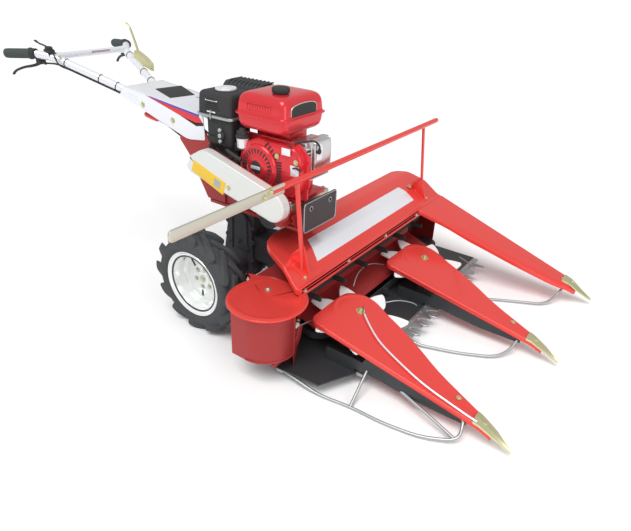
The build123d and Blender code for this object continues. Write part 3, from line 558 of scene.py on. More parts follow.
def rim(side):
    """The section of lip, well, dish and hub, as pairs (radius, y), spun round the axle."""
    section = [
        (0, 9), (26, 9), (30, 11), (31, 13), (50, 13), (57, 15), (92, 20.5), (98, 19), (102, 14), (104, 0),
        (107, -33), (113, -40), (121, -42.5), (124.5, -45), (127, -48.3), (129.5, -48.8), (130.6, -47),
        (129.5, -44.6), (127, -43.6), (112, -42), (108.2, -38), (108.2, 38), (112, 42), (127, 43.8),
        (129.5, 45), (129, 47.5), (126, 48), (120, 45), (106, 40), (102.6, 30), (102, 27), (96, 25),
        (52, 21), (34, 21), (34, 60), (30, 63.5), (17, 63.5), (17, 120), (0, 120)
    ]
    t = np.linspace(0, 2 * np.pi, 72, endpoint=False)
    s = np.array(section, float)
    grid = np.stack([s[:, :1] * np.sin(t), s[:, 1:] + 0 * t, s[:, :1] * np.cos(t)], -1)
    return Shell().surface(wheel_place(grid, side))


def wheel_bolts(side):
    """Hub nuts on a circle, the hub cap's nut, and the valve, all on the outer side."""
    shell = Shell()
    out = np.array([0.0, side, 0.0])
    for k in range(6):
        t = math.radians(60 * k + 12)
        centre = wheel_place(np.array([40 * math.sin(t), 13.0, 40 * math.cos(t)]), side)
        shell.bolt(centre, out, 12, 7)
    shell.spun(
        [(15, 0), (15, 3), (9, 4), (9, 9), (7.5, 10)], wheel_place(np.array([0, 9.0, 0]), side), out, 24
    )
    valve = wheel_place(np.array([[-80, 4, 68], [-78, -6, 66], [-74, -16, 62]], float), side)
    return shell.tube(valve, 3.2, up=X)


def rim_slot_shade(side):
    """Dark radial slots as thin plates that follow the dish, black as painted shade where the openings are: x = r
    sin t + b cos t, z = r cos t - b sin t.
    """
    shell = Shell()
    for k in range(3):
        t = math.radians(120 * k - 48)
        run, lift = np.meshgrid(np.linspace(-1, 1, 15), np.linspace(-1, 1, 5), indexing="ij")
        r = 74 + 17 * run
        b = lift * 5.5 * np.sqrt(np.clip(1.02 - run**8, 0, 1))
        y = 15 + (r - 57) * 5.5 / 35 - 0.9
        grid = np.stack([r * math.sin(t) + b * math.cos(t), y, r * math.cos(t) - b * math.sin(t)], -1)
        shell.surface(wheel_place(np.concatenate([grid, (grid + (0, 1.5, 0))[:, ::-1]], 1), side), caps=True)
    return shell


class REAPER_OT_wheels(Operator):
    """Build the tyres, rims and hub bolts"""

    bl_idname = "reaper.wheels"
    bl_label = "Wheels"

    def execute(self, context):
        data = context.scene.reaper_wheels
        for name, side in (("right", -1), ("left", 1)):
            body = f"wheel_{name}"
            piece(f"{name}_tyre", tyre(side, data), "tyre_rubber", 42, (f"tyre_{name}",), body)
            piece(f"{name}_rim", rim(side), "rim_white", 50, (f"rim_{name}",), body)
            piece(f"{name}_hub_bolts", wheel_bolts(side), "zinc_steel", 30, body=body)
            # black plates: painted shade in the rim's slots, in place of openings
            piece(f"{name}_hand_hole_shade", rim_slot_shade(side), "black_paint", 30, body=body)
        return {"FINISHED"}


# Header
HEADER_TOP = [(205, 394), (265, 393.5), (360, 370), (436, 317.5), (450, 317.5)]
HEADER_PLAN = [(205, -81), (225, -145), (262, -187), (450, -252), (450, 880), (265, 880), (205, 837)]
HEADER_CORNERS = [44, 40, 44, 22, 6, 40, 40]


class ReaperHeader(PropertyGroup):
    """Sizes of the header's pressed cover"""

    rim: FloatProperty(
        name="Rim", description="Depth of the cover's turned-down edge in mm", default=22.0, min=5, max=40
    )
    recess: FloatProperty(
        name="Recess", description="Depth of the long pressed field in mm", default=0.6, min=0, max=8
    )
    fold: FloatProperty(
        name="Fold", description="Height of the long fold along the front in mm", default=2.6, min=0, max=8
    )
    disc: FloatProperty(
        name="End disc", description="Radius of the round end cover in mm", default=137.0, min=80, max=160
    )


def header_height(p, data):
    """z = fold(x) - recess inside(x, y) + ridge exp(-((x - 424) / 4.5)^2), over a pressed field."""
    x, y = p[:, 0], p[:, 1]
    low_y = -52 - (x - 320) * 0.62
    inside = ramp(x, 306, 316) * (
        1 - ramp(x, 406, 416)
    ) * ramp(y - low_y, -22, -10) * (1 - ramp(y, 690, 704))
    ridge = np.exp(-(((x - 424) / 4.5) ** 2)) * ramp(y, -190, -150) * (1 - ramp(y, 830, 860))
    return bend(x, HEADER_TOP) - data.recess * inside + data.fold * ridge


def header_cover(data):
    """The pressed cover: the folded height over its rounded plan, with a turned-down edge."""
    loop = rounded_loop(HEADER_PLAN, HEADER_CORNERS, 9)
    spine = ((345, -120), (345, 800))
    return Shell().cushion(
        loop, lambda p: header_height(p, data) - data.rim, lambda p: header_height(p, data), 3.5,
        spine=spine, rings=44, sheet=2.5, step=14
    )


def header_lip():
    """The front flange, its rolled lower edge, and a thin bead along the flange's face."""
    shell = Shell()
    flange = rounded_loop([(-246, 289), (876, 289), (876, 316), (-246, 316)], 3, 3)
    shell.cushion(flange, 0, 3, 1, ((447, 0, 0), Y, Z))
    y = np.linspace(-246, 876, 60)
    shell.tube(np.stack([450 + 0 * y, y, 290 + 0 * y], -1), 4.2, sides=10)
    shell.tube(np.stack([451 + 0 * y, y, 306 + 0 * y], -1), 1.6, sides=8)
    return shell


def header_strip(data):
    """A plain white strip that lies in the pressed field."""
    loop = rounded_loop([(320, -27), (403, -78), (403, 680), (320, 680)], 3, 4)
    return Shell().cushion(
        loop, lambda p: header_height(p, data) + 0.1, lambda p: header_height(p, data) + 1.6, 0.4,
        spine=((361, 0), (361, 640)), rings=26, step=12
    )


def end_disc(data):
    """A round plate with a pointed rear corner, slightly dished, over the belt's end."""
    ring = arc(370, -315, data.disc, -203, 48, 60)
    loop = np.concatenate([ring, rounded_loop([(440, -192), (300, -192), (196, -236)], 14, 5)])
    far = lambda p: 288.6 + 1.6 * np.exp(
        -((np.hypot(p[:, 0] - 370, p[:, 1] + 315) - data.disc + 14) / 6) ** 2
    )
    return Shell().cushion(loop, 283.6, far, 1.8, rings=18, step=10)


def guard_seam():
    """The flat seam strip and the foot flange on the end guard."""
    shell = Shell()
    x, y, r = 367.0, -317.0, 110.0
    t = np.radians(7.5)
    seam = np.array([x + r * math.cos(t), y + r * math.sin(t)])
    shell.tube([(seam[0] + 1, seam[1], 102), (seam[0] + 1, seam[1], 276)], 5, 1.6, 8, up=X)
    t = np.radians(np.linspace(-90, 6, 40))
    ring = np.stack([x + (r + 1.2) * np.cos(t), y + (r + 1.2) * np.sin(t), 103 + 0 * t], -1)
    return shell.tube(ring, 1.8, 4.0, 8)


def header_bolts():
    """Bolts along the lip, the disc's bolt and the small ones on the end guard."""
    shell = Shell()
    for y in (-214, 60, 340, 620, 846):
        shell.bolt((450, y, 300), X, 11, 6)
    shell.bolt((338, -273, 289), Z, 14, 8)
    for place in ((408, -188, 240), (425, -212, 120), (436, -230, 180), (455, -260, 190), (466, -285, 200)):
        shell.bolt(place, (0.75, -0.66, 0), 9, 4)
    return shell


def curved_brackets():
    """Two bent red straps from the guard down to the skid: a flat section carried along curved lines."""
    shell = Shell()
    for y0, reach in ((-292, 0), (-262, 26)):
        line = rounded_path(
            [(452, y0 + 28, 176), (466, y0 - 6, 128), (452, y0 - 46, 84), (430 - reach, y0 - 70, 56)], 40, 8
        )
        shell.tube(line, 13, 2.2, 10, up=X, square=0.5)
    return shell


class REAPER_OT_header(Operator):
    """Build the header's cover, strip, lip, round end cover and their bolts"""

    bl_idname = "reaper.header"
    bl_label = "Header"

    def execute(self, context):
        data = context.scene.reaper_header
        piece("header_hood", header_cover(data), "red_paint", 40, ("header_cover",))
        piece("header_lip_bead", header_lip(), "red_paint", 40)
        piece("header_white_strip", header_strip(data), "white_paint", 40)
        piece("end_disc", end_disc(data), "red_paint", 40, ("end_cover",))
        piece("guard_seam", guard_seam(), "dark_red_paint", 40)
        piece("header_bolts", header_bolts(), "zinc_steel", 30)
        piece("curved_brackets", curved_brackets(), "dark_red_paint", 40)
        return {"FINISHED"}


# Dividers and star wheels
STARS = {"right": -33.0, "middle": 498.0}
STAR_X = 573.0
DIV_TOP = [(440, 192.2), (1100, 70), (1205, 25)]
DIV_PLAN = [
    (465, -170), (465, 40), (480, 72), (520, 100), (560, 104), (600, 93), (640, 72), (715, 45), (810, 2),
    (909, -52), (1100, -122), (1140, -140), (1140, -170)
]
DIV_CORNERS = [34, 40, 26, 22, 22, 22, 26, 30, 40, 60, 16, 8, 4]
FAR_TOP = [(450, 317.5), (1110, 92), (1205, 25)]
FAR_PLAN = [
    (450, 637), (685, 698), (908, 742), (1061, 783), (1140, 835), (1140, 872), (1109, 880), (450, 880)
]
FAR_CORNERS = [4, 50, 60, 40, 14, 6, 10, 4]


class ReaperDividers(PropertyGroup):
    """Sizes of the divider covers and star wheels"""

    rim: FloatProperty(
        name="Rim", description="Depth of a cover's turned-down edge in mm", default=18.0, min=5, max=30
    )
    emboss: FloatProperty(
        name="Pressing", description="Height of the pressed ridges in mm", default=1.8, min=0, max=5
    )
    petals: IntProperty(name="Petals", description="Petals on a star wheel", default=7, min=4, max=10)
    petal_thick: FloatProperty(
        name="Petal thickness", description="Thickness in mm", default=7.0, min=2, max=14
    )


def divider_height(p, y0, data):
    """z = fold(x) + ridges: an arc round the star's axis, an oval boss and a groove along the edge."""
    x, y = p[:, 0], p[:, 1] - y0
    far = np.hypot(x - STAR_X, y)
    angle = np.degrees(np.arctan2(y, x - STAR_X))
    rear = ramp(np.abs(angle), 105, 125)
    ring = np.exp(-(((far - 100) / 5) ** 2)) * rear
    boss = np.exp(-(((np.hypot((x - 700) / 1.5, y + 118) - 20) / 4) ** 2))
    edge = np.exp(-(((y + 157) / 3.0) ** 2)) * ramp(x, 500, 540) * (1 - ramp(x, 1060, 1090))
    return bend(x, DIV_TOP) + data.emboss * (ring + 0.7 * boss - 0.8 * edge)


def divider_cover(y0, data):
    """The pressed height over the divider's rounded plan, with a turned-down edge."""
    loop = rounded_loop(np.array(DIV_PLAN, float) + (0, y0), DIV_CORNERS, 8)
    return Shell().cushion(
        loop, lambda p: divider_height(p, y0, data) - data.rim, lambda p: divider_height(p, y0, data), 3.0,
        spine=((585, y0 - 40), (1110, y0 - 150)), rings=34, sheet=2.5, step=11
    )


def far_cover(data):
    """The left divider's long sheet: a folded plate with a crease that follows its inner edge."""
    def height(p):
        inner = np.interp(
            p[:, 0], *np.array([(450, 637), (685, 698), (908, 742), (1061, 783), (1140, 835)], float).T
        )
        from_edge = p[:, 1] - inner
        crease = ramp(from_edge, 0, 26) - 1
        return bend(p[:, 0], FAR_TOP, 12) + 9 * crease * ramp(p[:, 0], 560, 700)
    loop = rounded_loop(FAR_PLAN, FAR_CORNERS, 8)
    return Shell().cushion(
        loop, lambda p: height(p) - data.rim, height, 3.0, spine=((500, 760), (1105, 840)), rings=26,
        sheet=2.5, step=12
    )


def tip(shell, profile, y_side, width):
    """A folded steel point: a plate that follows the fold line and stands up along its middle."""
    loop = rounded_loop(
        [
            (1078, y_side - width * 0.04), (1078, y_side + width), (1150, y_side + width * 0.66),
            (1205, y_side + width * 0.12), (1205, y_side)
        ],
        3, 3
    )
    middle = lambda p: y_side + width * (0.5 - 0.4 * (p[:, 0] - 1085) / 120)
    half = lambda p: np.maximum(np.abs(width) * (0.5 - 0.42 * (p[:, 0] - 1085) / 120), 2)
    roof = lambda p: 5 * np.clip(1 - np.abs(p[:, 1] - middle(p)) / half(p), 0, 1)
    top = lambda p: bend(p[:, 0], profile, 4) + 3.6 + roof(p)
    return shell.cushion(
        loop, lambda p: bend(p[:, 0], profile, 4) - 3, top, 1.0,
        spine=((1092, y_side + width / 2), (1200, y_side + width * 0.1)), rings=6, step=8
    )


def divider_bolts():
    """The star axles' nuts and the bolts near the steel points, square to the covers' slope."""
    shell = Shell()
    slope = np.array([0.182, 0, 0.983])
    for y0 in STARS.values():
        z = 167.6
        shell.spun([(17, -2), (17, 2.5), (9, 3)], (STAR_X - 6, y0 + 4, z + 2), slope, 28)
        shell.bolt((STAR_X - 6, y0 + 4, z + 4), slope, 15, 10)
        for x, y in ((1008, y0 - 112), (1112, y0 - 150)):
            shell.bolt((x, y, float(bend(np.array([x]), DIV_TOP)[0]) + (6 if x > 1090 else 1)), slope, 11, 5)
    lean = np.array([0.32, 0, 0.947])
    shell.bolt((1080, 838, 103), lean, 11, 5)
    shell.bolt((1118, 856, 92), (0.55, 0, 0.83), 9, 4)
    return shell


def star_frame(y0):
    """Origin and two directions in the wheel's plane, which follows the cover's slope."""
    (x0, z0), (x1, z1) = DIV_TOP[:2]
    run, fall = x1 - x0, z0 - z1
    u = np.array([run, 0, -fall]) / math.hypot(run, fall)
    return np.array([STAR_X, y0, z0 - (STAR_X - x0) * fall / run]), u, Y


def star_wheel(y0, turn, data):
    """One outline round all petals, curved fingers with rounded tips, as a cushion with a soft edge."""
    count = data.petals
    finger = np.array(
        [(92, -34), (118, -42), (150, -32), (186, -4), (192, 10), (160, 26), (120, 36), (92, 33)]
    )
    valley = np.array([(68.0, 31.0)])
    points, corners = [], []
    for k in range(count):
        t = math.radians(turn + 360 / count * k)
        spin = np.array([[math.cos(t), math.sin(t)], [-math.sin(t), math.cos(t)]])
        points.append(np.concatenate([finger, valley]) @ spin)
        corners += [10, 18, 26, 14, 8, 26, 24, 10, 8]
    loop = rounded_loop(np.concatenate(points), corners, 5)
    place = star_frame(y0)
    w = np.cross(place[1], place[2])
    shell = Shell()
    thick = data.petal_thick
    shell.cushion(
        loop, -30, lambda p: -30 + thick + 2.5 * np.exp(-((np.hypot(*p.T) / 60) ** 2)), 2.8, place, rings=8
    )
    shell.spun(
        [
            (9.2, -42), (24, -42), (26, -40), (26, -30), (32, -28), (32, -20), (26, -17), (24, -11),
            (9.2, -10)
        ],
        place[0], w, 32, closed=True
    )
    return shell


def guide_wire():
    """A white rod from the hook at the star's axis along the cover to its front end, just over the sheet."""
    line = np.array(
        [
            (589, -37), (611, -57), (660, -96), (712, -128), (800, -158), (900, -186), (1020, -196),
            (1090, -196)
        ]
    )
    line = rounded_path(line, 60, 6)
    z = bend(line[:, 0], DIV_TOP) + 7 - 3 * ramp(line[:, 0], 1000, 1090)
    return Shell().tube(np.column_stack([line, z]), 3.4, sides=10)


def guide_hook():
    """The small bent hook that holds the guide wire at the star's axis."""
    line = rounded_path(
        [(566, -8, 178), (574, -16, 182), (584, -30, 176), (586, -34, 166), (594, -40, 174)], 6, 5
    )
    return Shell().tube(line, 2.6, sides=8, up=X)


class REAPER_OT_dividers(Operator):
    """Build the divider covers, their steel points, bolts, guide wire and the star wheels"""

    bl_idname = "reaper.dividers"
    bl_label = "Dividers"

    def execute(self, context):
        data = context.scene.reaper_dividers
        for name, y0 in STARS.items():
            cover = divider_cover(y0, data)
            piece(f"{name}_divider_hood", cover, "red_paint", 40, (f"divider_cover_{name}",))
            star = star_wheel(y0, {"right": 40.0, "middle": 50.0}[name], data)
            piece(f"{name}_star", star, "star_white", 50, (f"star_wheel_{name}",), f"star_{name}")
        piece("left_divider_hood", far_cover(data), "red_paint", 40, ("divider_cover_left",))
        points = Shell()
        for y0 in STARS.values():
            tip(points, DIV_TOP, y0 - 171, 54)
        tip(points, FAR_TOP, 878, -62)
        piece("steel_points", points, "yellow_zinc", 25, ("divider_tips",))
        piece("divider_bolts", divider_bolts(), "yellow_zinc", 30)
        piece("guide_hook", guide_hook(), "bare_steel", 40)
        piece("guide_wire", guide_wire(), "white_paint", 40)
        return {"FINISHED"}


# Engine
CRANK = (163.0, 645.0)
BLOWER_Y = -70.0
TANK_X = (68.0, 282.0)
TANK_Y = (-120.0, 106.0)
CLEANER_X = (-113.0, 45.0)
CLEANER_Y = (-120.0, 12.0)
CONTROL_X = (-78.0, 40.0)
CONTROL_Y = (-114.0, -8.0)


class ReaperEngine(PropertyGroup):
    """Numbers of slots, fins, ribs and louvres on the engine"""

    slots: IntProperty(
        name="Starter slots", description="Slots in the starter's ring", default=26, min=8, max=40
    )
    slot_ring: FloatProperty(
        name="Slot ring", description="Radius of the ring of slots in mm", default=55.0, min=40, max=80
    )
    fins: IntProperty(name="Fins", description="Cooling fins on the cylinder", default=9, min=3, max=16)
    ribs: IntProperty(name="Cap ribs", description="Ribs round the fuel cap", default=20, min=6, max=40)
    louvres: IntProperty(
        name="Louvres", description="Louvres along the muffler guard", default=9, min=3, max=16
    )


def right_face(depth):
    """A place on a plane that faces right: u ahead, v up, w to the right from the given Y."""
    return ((0.0, depth, 0.0), X, Z)


def fan_cover():
    """The blower housing: a circle and a straight-sided duct in one outline, with a wide soft edge."""
    x, z = CRANK
    left = arc(x, z, 95, 74, 286, 40)
    duct = rounded_loop(
        [(190, 552), (300, 556), (336, 600), (336, 702), (300, 738), (190, 738)], [1, 26, 26, 30, 22, 1], 6
    )
    shell = Shell()
    dome = lambda p: 32 + 8 * np.exp(-((np.hypot(p[:, 0] - x, p[:, 1] - z) / 118) ** 6))
    shell.cushion(
        np.concatenate([left, duct]), 0, dome, 11, right_face(BLOWER_Y), ((x, z), (290, 648)), 14, step=9
    )
    flange = rounded_loop(
        [(70, 556), (345, 548), (345, 596), (352, 600), (352, 706), (302, 744), (70, 744)], 10, 4
    )
    return shell.cushion(flange, -4, 2, 1.2, right_face(BLOWER_Y))


def starter():
    """The recoil cover: a spun section with a bright outer roll, a slotted ring and a raised middle."""
    x, z = CRANK
    section = [
        (89, 0), (89, 3), (87, 7), (83, 11), (78, 14), (74, 14.4), (72, 13.4), (70, 12.8), (52, 12.8),
        (50, 13.6), (46, 16.4), (36, 18), (27, 18.6), (25, 17), (0, 17)
    ]
    return Shell().spun([(r * 0.9, h - 2) for r, h in section], (x, -111.0, z), -Y, 72)


def starter_slot_shade(data):
    """Dark plates for the slots in a ring round the crank and the housing's slanted and level slots, black as
    painted shade where the openings are.
    """
    x, z = CRANK
    shell = Shell()
    for k in range(data.slots):
        t = 2 * math.pi * k / data.slots
        out, across = np.array([math.cos(t), 0, math.sin(t)]), np.array([-math.sin(t), 0, math.cos(t)])
        loop = rounded_loop([(-7.8, -2.1), (7.8, -3.4), (7.8, 3.4), (-7.8, 2.1)], 2, 3)
        centre = np.array([x, -122.2, z]) + out * data.slot_ring
        shell.cushion(loop, -1.5, 0.5, 0.3, (centre, out, across))
    vents = [
        ((197 + 10 * k, 728 - 10.4 * k), 48) for k in range(5)
    ] + [((248, 676 - 9.6 * k), 2) for k in range(8)]
    for (cx, cz), lean in vents:
        t = math.radians(lean)
        u = np.array([math.cos(t), 0, math.sin(t)])
        v = np.array([-math.sin(t), 0, math.cos(t)])
        loop = rounded_loop([(-12, -2.6), (12, -2.6), (12, 2.6), (-12, 2.6)], 2, 3)
        shell.cushion(loop, -2.5, 0.35, 0.3, ((cx, -110.4, cz), u, v))
    return shell


def starter_badge():
    """The blank disc in the middle of the starter."""
    x, z = CRANK
    return Shell().spun([(23, -1), (23, 1.2), (21.5, 1.8), (0, 2.4)], (x, -126.4, z), -Y, 48)


def badge_band():
    """A plain pale band across the blank disc."""
    x, z = CRANK
    loop = rounded_loop([(x - 21, z - 6), (x + 21, z - 6), (x + 21, z + 6), (x - 21, z + 6)], 2, 3)
    return Shell().cushion(loop, 0, 0.5, 0.2, right_face(-128.8))


def blank_labels():
    """Two blank labels on the blower housing."""
    shell = Shell()
    loop = rounded_loop([(262, 712), (298, 712), (298, 736), (262, 736)], 1.5, 3)
    shell.cushion(loop - (0, 4), 0, 0.5, 0.2, right_face(-109.6))
    loop = rounded_loop([(293, 640), (329, 640), (329, 676), (293, 676)], 1.5, 3)
    return shell.cushion(loop, 0, 0.5, 0.2, right_face(-102.6))


def rect(grow, x, y):
    """The corners of a rectangle between two x and two y, let out by grow."""
    (x0, x1), (y0, y1) = x, y
    return [(x0 - grow, y0 - grow), (x1 + grow, y0 - grow), (x1 + grow, y1 + grow), (x0 - grow, y1 + grow)]


def stacked(rows, x, y):
    """Rounded rectangles one over another: each row has its growth, height and corner radius."""
    layers = []
    for out, height, radius in rows:
        loop = rounded_loop(rect(out, x, y), radius, 9)
        layers.append(np.column_stack([loop, np.full(len(loop), height)]))
    return Shell().surface(np.stack(layers))


def tank():
    """Rounded rectangles stacked up: a tapered pan, the seam flange, then a hood that rolls into its top."""
    rows = [
        (-70, 768.5, 30), (-20, 768, 34), (-11, 770, 34), (-4.5, 778, 32), (-1.5, 790, 30), (0, 806, 29),
        (1, 814, 29), (5, 816.4, 32), (8, 816.8, 34), (8.6, 818.6, 34), (8, 820.6, 34), (4, 821.4, 31),
        (1.2, 824, 28), (0, 832, 28), (-1.5, 850, 28), (-4, 864, 28), (-8.5, 875, 29), (-15, 882, 30),
        (-24, 886, 31), (-40, 888, 30), (-70, 889.6, 26)
    ]
    return stacked(rows, TANK_X, TANK_Y)


def tank_cap(data):
    """A spun section whose radius is waved by r (1 + 0.035 cos n t) for the finger ribs."""
    shell = Shell()
    shell.spun([(23, -3), (23, 5), (20, 6)], (208, -48, 888), Z, 40)
    section = [(27.5, 4), (29, 6), (29.2, 16), (28, 20), (25, 22), (12, 22.6), (0, 22.8)]
    return shell.spun(section, (208, -48, 888), Z, data.ribs * 8, ribs=data.ribs, rib=0.032)


def tank_plates():
    """A raised frame on the tank's right face, with a row of plain raised blocks inside it."""
    shell = Shell()
    loop = rounded_loop([(122, 836), (226, 836), (226, 860), (122, 860)], 6, 4)
    line = np.column_stack([loop[:, 0], np.full(len(loop), -119.0), loop[:, 1]])
    shell.tube(np.concatenate([line, line[:1]]), 2.0, sides=8, up=Y)
    for k in range(9):
        shell.block((128 + 11 * k, -120.6, 842), (135 + 11 * k, -117, 854), 1.2, 2, "y")
    return shell


def front_badge(grow=0.0, depth=1.0):
    """An arched blank plate on the tank's front face."""
    half = 68 + grow
    arch = [
        (
            -16 + half * math.cos(t), 851 + grow + 14 * math.sin(t)
        ) for t in np.radians(np.linspace(28, 152, 11))
    ]
    loop = rounded_loop(
        [(-16 - half, 826 - grow), (-16 + half, 826 - grow), (-16 + half, 850), *arch, (-16 - half, 850)],
        3, 3
    )
    return Shell().cushion(loop, -3, depth, 0.6, ((281.4, 0, 0), Y, Z))


def cylinder(data):
    """Finned cylinder and head: thin soft-cornered plates, stacked, with the rocker cover in front."""
    shell = Shell()
    shell.block((255, -50, 606), (318, 66, 742), 4)
    for k in range(data.fins):
        z = 616 + k * 13.6
        loop = rounded_loop([(256, -63), (330, -63), (336, -50), (336, 66), (328, 78), (256, 78)], 6, 4)
        shell.cushion(loop, z, z + 4.2, 1.2)
    shell.block((316, -44, 634), (338, 58, 756), 4, 10, "x")
    cover = rounded_loop(
        [(-38, 640), (52, 640), (56, 652), (56, 738), (46, 752), (-32, 752), (-42, 740), (-42, 652)], 9, 5
    )
    shell.cushion(
        cover, 0, lambda p: 15 + 3 * np.exp(-((np.hypot(p[:, 0] - 7, p[:, 1] - 696) / 48) ** 4)), 5,
        ((335.0, 0, 0), Y, Z), rings=5, step=8
    )
    for y, z in ((-30, 648), (44, 648), (-30, 744), (44, 744)):
        shell.spun([(6, 0), (6, 16), (4.5, 17)], (335, y, z), X, 16)
    shell.tube(rounded_path([(300, -66, 700), (300, -84, 704), (312, -92, 716)], 10), 7, sides=10)
    return shell


def plug_lead():
    """The black boot on the plug and the lead that bends back under the tank."""
    shell = Shell()
    path = rounded_path(
        [
            (344, -28, 716), (362, -34, 722), (366, -38, 742), (352, -50, 760), (318, -66, 752),
            (290, -74, 742)
        ],
        16, 6
    )
    shell.tube(path, 3.4, sides=10, up=Y)
    shell.tube(
        [(338, -26, 713), (350, -30, 716), (360, -33, 720), (364, -35, 726)], [7, 8, 8.5, 6], sides=14, up=Y
    )
    shell.tube(
        rounded_path([(296, -76, 716), (300, -98, 730), (286, -104, 748), (276, -100, 756)], 12), 2.2,
        sides=8, up=X
    )
    return shell


def white_shield():
    """A small pale heat shield beside the plug."""
    loop = rounded_loop([(-40, 688), (-8, 684), (-4, 726), (-16, 744), (-38, 738)], 8, 5)
    shell = Shell().cushion(loop, 0, 2.2, 1, ((354.0, 0, 0), Y, Z), rings=3)
    return shell.spun([(7, 0), (7, 4), (4, 6)], (356, -22, 712), X, 20)


def crankcase():
    """Case, foot, side-cover bolts and the shaft end on the left."""
    shell = Shell()
    shell.block((72, -68, 540), (258, 92, 704), 12, 16)
    shell.block((38, -76, 531), (307, 96, 544), 3, 12)
    shell.block((92, -42, 690), (240, 68, 770), 6, 14)
    for x, z in ((96, 566), (168, 556), (232, 566), (244, 640), (222, 690), (102, 690), (82, 640)):
        shell.spun([(8, 0), (8, 9), (5, 10)], (x, 92, z), Y, 16)
    shell.spun([(34, 0), (34, 10), (24, 14), (14, 16), (14, 50), (0, 52)], (163, 92, 645), Y, 32)
    shell.spun([(12, 0), (14, 4), (14, 16), (9, 20)], (60, -40, 600), (-0.8, -0.4, 0.45), 18)
    return shell


def side_details():
    """The starter's rope handle with its rope, a small lever on the housing and the handle's rest."""
    shell = Shell()
    handle = [(40, -139, 684), (60, -142, 678), (90, -142, 668), (106, -139, 661)]
    shell.tube(handle, [5.5, 7, 7, 8], sides=14)
    shell.tube(rounded_path([(106, -138, 661), (118, -130, 655), (124, -122, 650)], 6), 3, sides=8)
    shell.tube(
        [(306, -104, 668), (322, -110, 674), (338, -112, 672), (346, -112, 668)], [3, 5, 6, 4],
        [3, 3, 3, 3], sides=10
    )
    shell.block((38, -100, 676), (70, -72, 700), 4, 6)
    return shell


def fuel_cup():
    """A clear cup under the tap: a spun section beside the carburettor."""
    shell = Shell()
    return shell.spun(
        [(0, 0), (15, 0), (20, 5), (21, 30), (22, 34), (22, 40), (0, 41)], (85, -104, 692), Z, 28
    )


def fuel_tap():
    """The tap over the cup, with its pipe and flange."""
    shell = Shell()
    shell.spun([(24, 0), (25, 4), (24, 10), (14, 14), (12, 26), (9, 34)], (85, -104, 730), Z, 28)
    shell.tube(rounded_path([(85, -100, 750), (84, -92, 764), (92, -80, 770)], 8), 5, sides=10)
    return shell.block((66, -116, 742), (104, -96, 754), 3, 5)


def cleaner():
    """Rounded rectangles stacked up the lid, with a dished top and a clip on the right face."""
    rows = [
        (-20, 788, 12), (-1, 788, 14), (0, 790, 15), (0, 800, 16), (-1, 830, 17), (-2.5, 852, 18),
        (-5, 860, 18), (-10, 864.5, 18), (-18, 865.5, 17), (-36, 865.8, 14)
    ]
    shell = stacked(rows, CLEANER_X, CLEANER_Y)
    shell.spun([(42, 0), (42, 2), (39, 3)], (-34, -54, 865), Z, 48)
    for k in range(5):
        shell.block((-78 + 3 * k, -121.6, 806 + 8 * k), (-8 - 3 * k, -119, 810 + 8 * k), 1.2, up="x")
    return shell


def cleaner_knob():
    """The round pale knob on the lid, dished inside its rim."""
    shell = Shell()
    section = [
        (37, 0), (38, 2), (38, 6.5), (36.5, 8.6), (33, 9.2), (31, 8.6), (14, 8.8), (12, 10.2), (0, 10.6)
    ]
    return shell.spun(section, (-34, -54, 866.4), Z, 56)


def cleaner_flange():
    """The grey flange under the lid and the bent clip that holds it."""
    loop = rounded_loop(rect(6, CLEANER_X, CLEANER_Y), 20, 6)
    shell = Shell().cushion(loop, 780, 789, 1.6)
    shell.tube(rounded_path([(-44, -127, 775), (-44, -128, 792), (-44, -123, 806)], 4), 2.4, sides=8)
    return shell


def cleaner_marks():
    """Two plain pale strips on the lid's right face."""
    shell = Shell()
    for (a, b), (c, d) in (((-72, 836), (-15, 840)), ((-66, 796), (-26, 801))):
        shell.cushion(
            rounded_loop([(a, b), (c, b), (c, d), (a, d)], 0.8, 3), 0, 0.5, 0.2, right_face(-120.2)
        )
    return shell


def control_box():
    """The black housing under the lid: a body with soft corners, two column bosses and the choke rod."""
    rows = [(-14, 682, 10), (-2, 683, 11), (0, 687, 12), (0, 776, 12), (-2, 781, 12), (-10, 782, 10)]
    shell = stacked(rows, CONTROL_X, CONTROL_Y)
    shell.block((26, -60, 640), (76, 10, 684), 5, 9)
    shell.block((-92, -92, 632), (44, -20, 690), 6, 12)
    shell.block((-106, -84, 690), (-74, -16, 782), 4, 8)
    shell.spun([(22, 0), (23, 4), (23, 30), (18, 36)], (30, -78, 612), Z, 28)
    shell.tube(
        rounded_path([(-60, -96, 700), (-40, -106, 660), (20, -106, 640), (40, -98, 652)], 14, 5), 3.2,
        sides=8
    )
    shell.spun([(17, 0), (17, 10), (12, 14)], (-5, -112, 722), -Y, 24)
    shell.tube([(-64, -112, 676), (-64, -112, 660), (-58, -108, 652)], 8, sides=12, up=X)
    return shell.block((-70, -119, 690), (-20, -112, 712), 2, 4, "y")


def choke_knobs():
    """Three round knobs in a column on the control box."""
    shell = Shell()
    for z, r in ((742, 8), (722, 9), (702, 8)):
        shell.spun([(r * 0.5, -12), (r * 0.5, 0), (r, 1), (r, 7), (r * 0.8, 9)], (-5, -118, z), -Y, 20)
    return shell


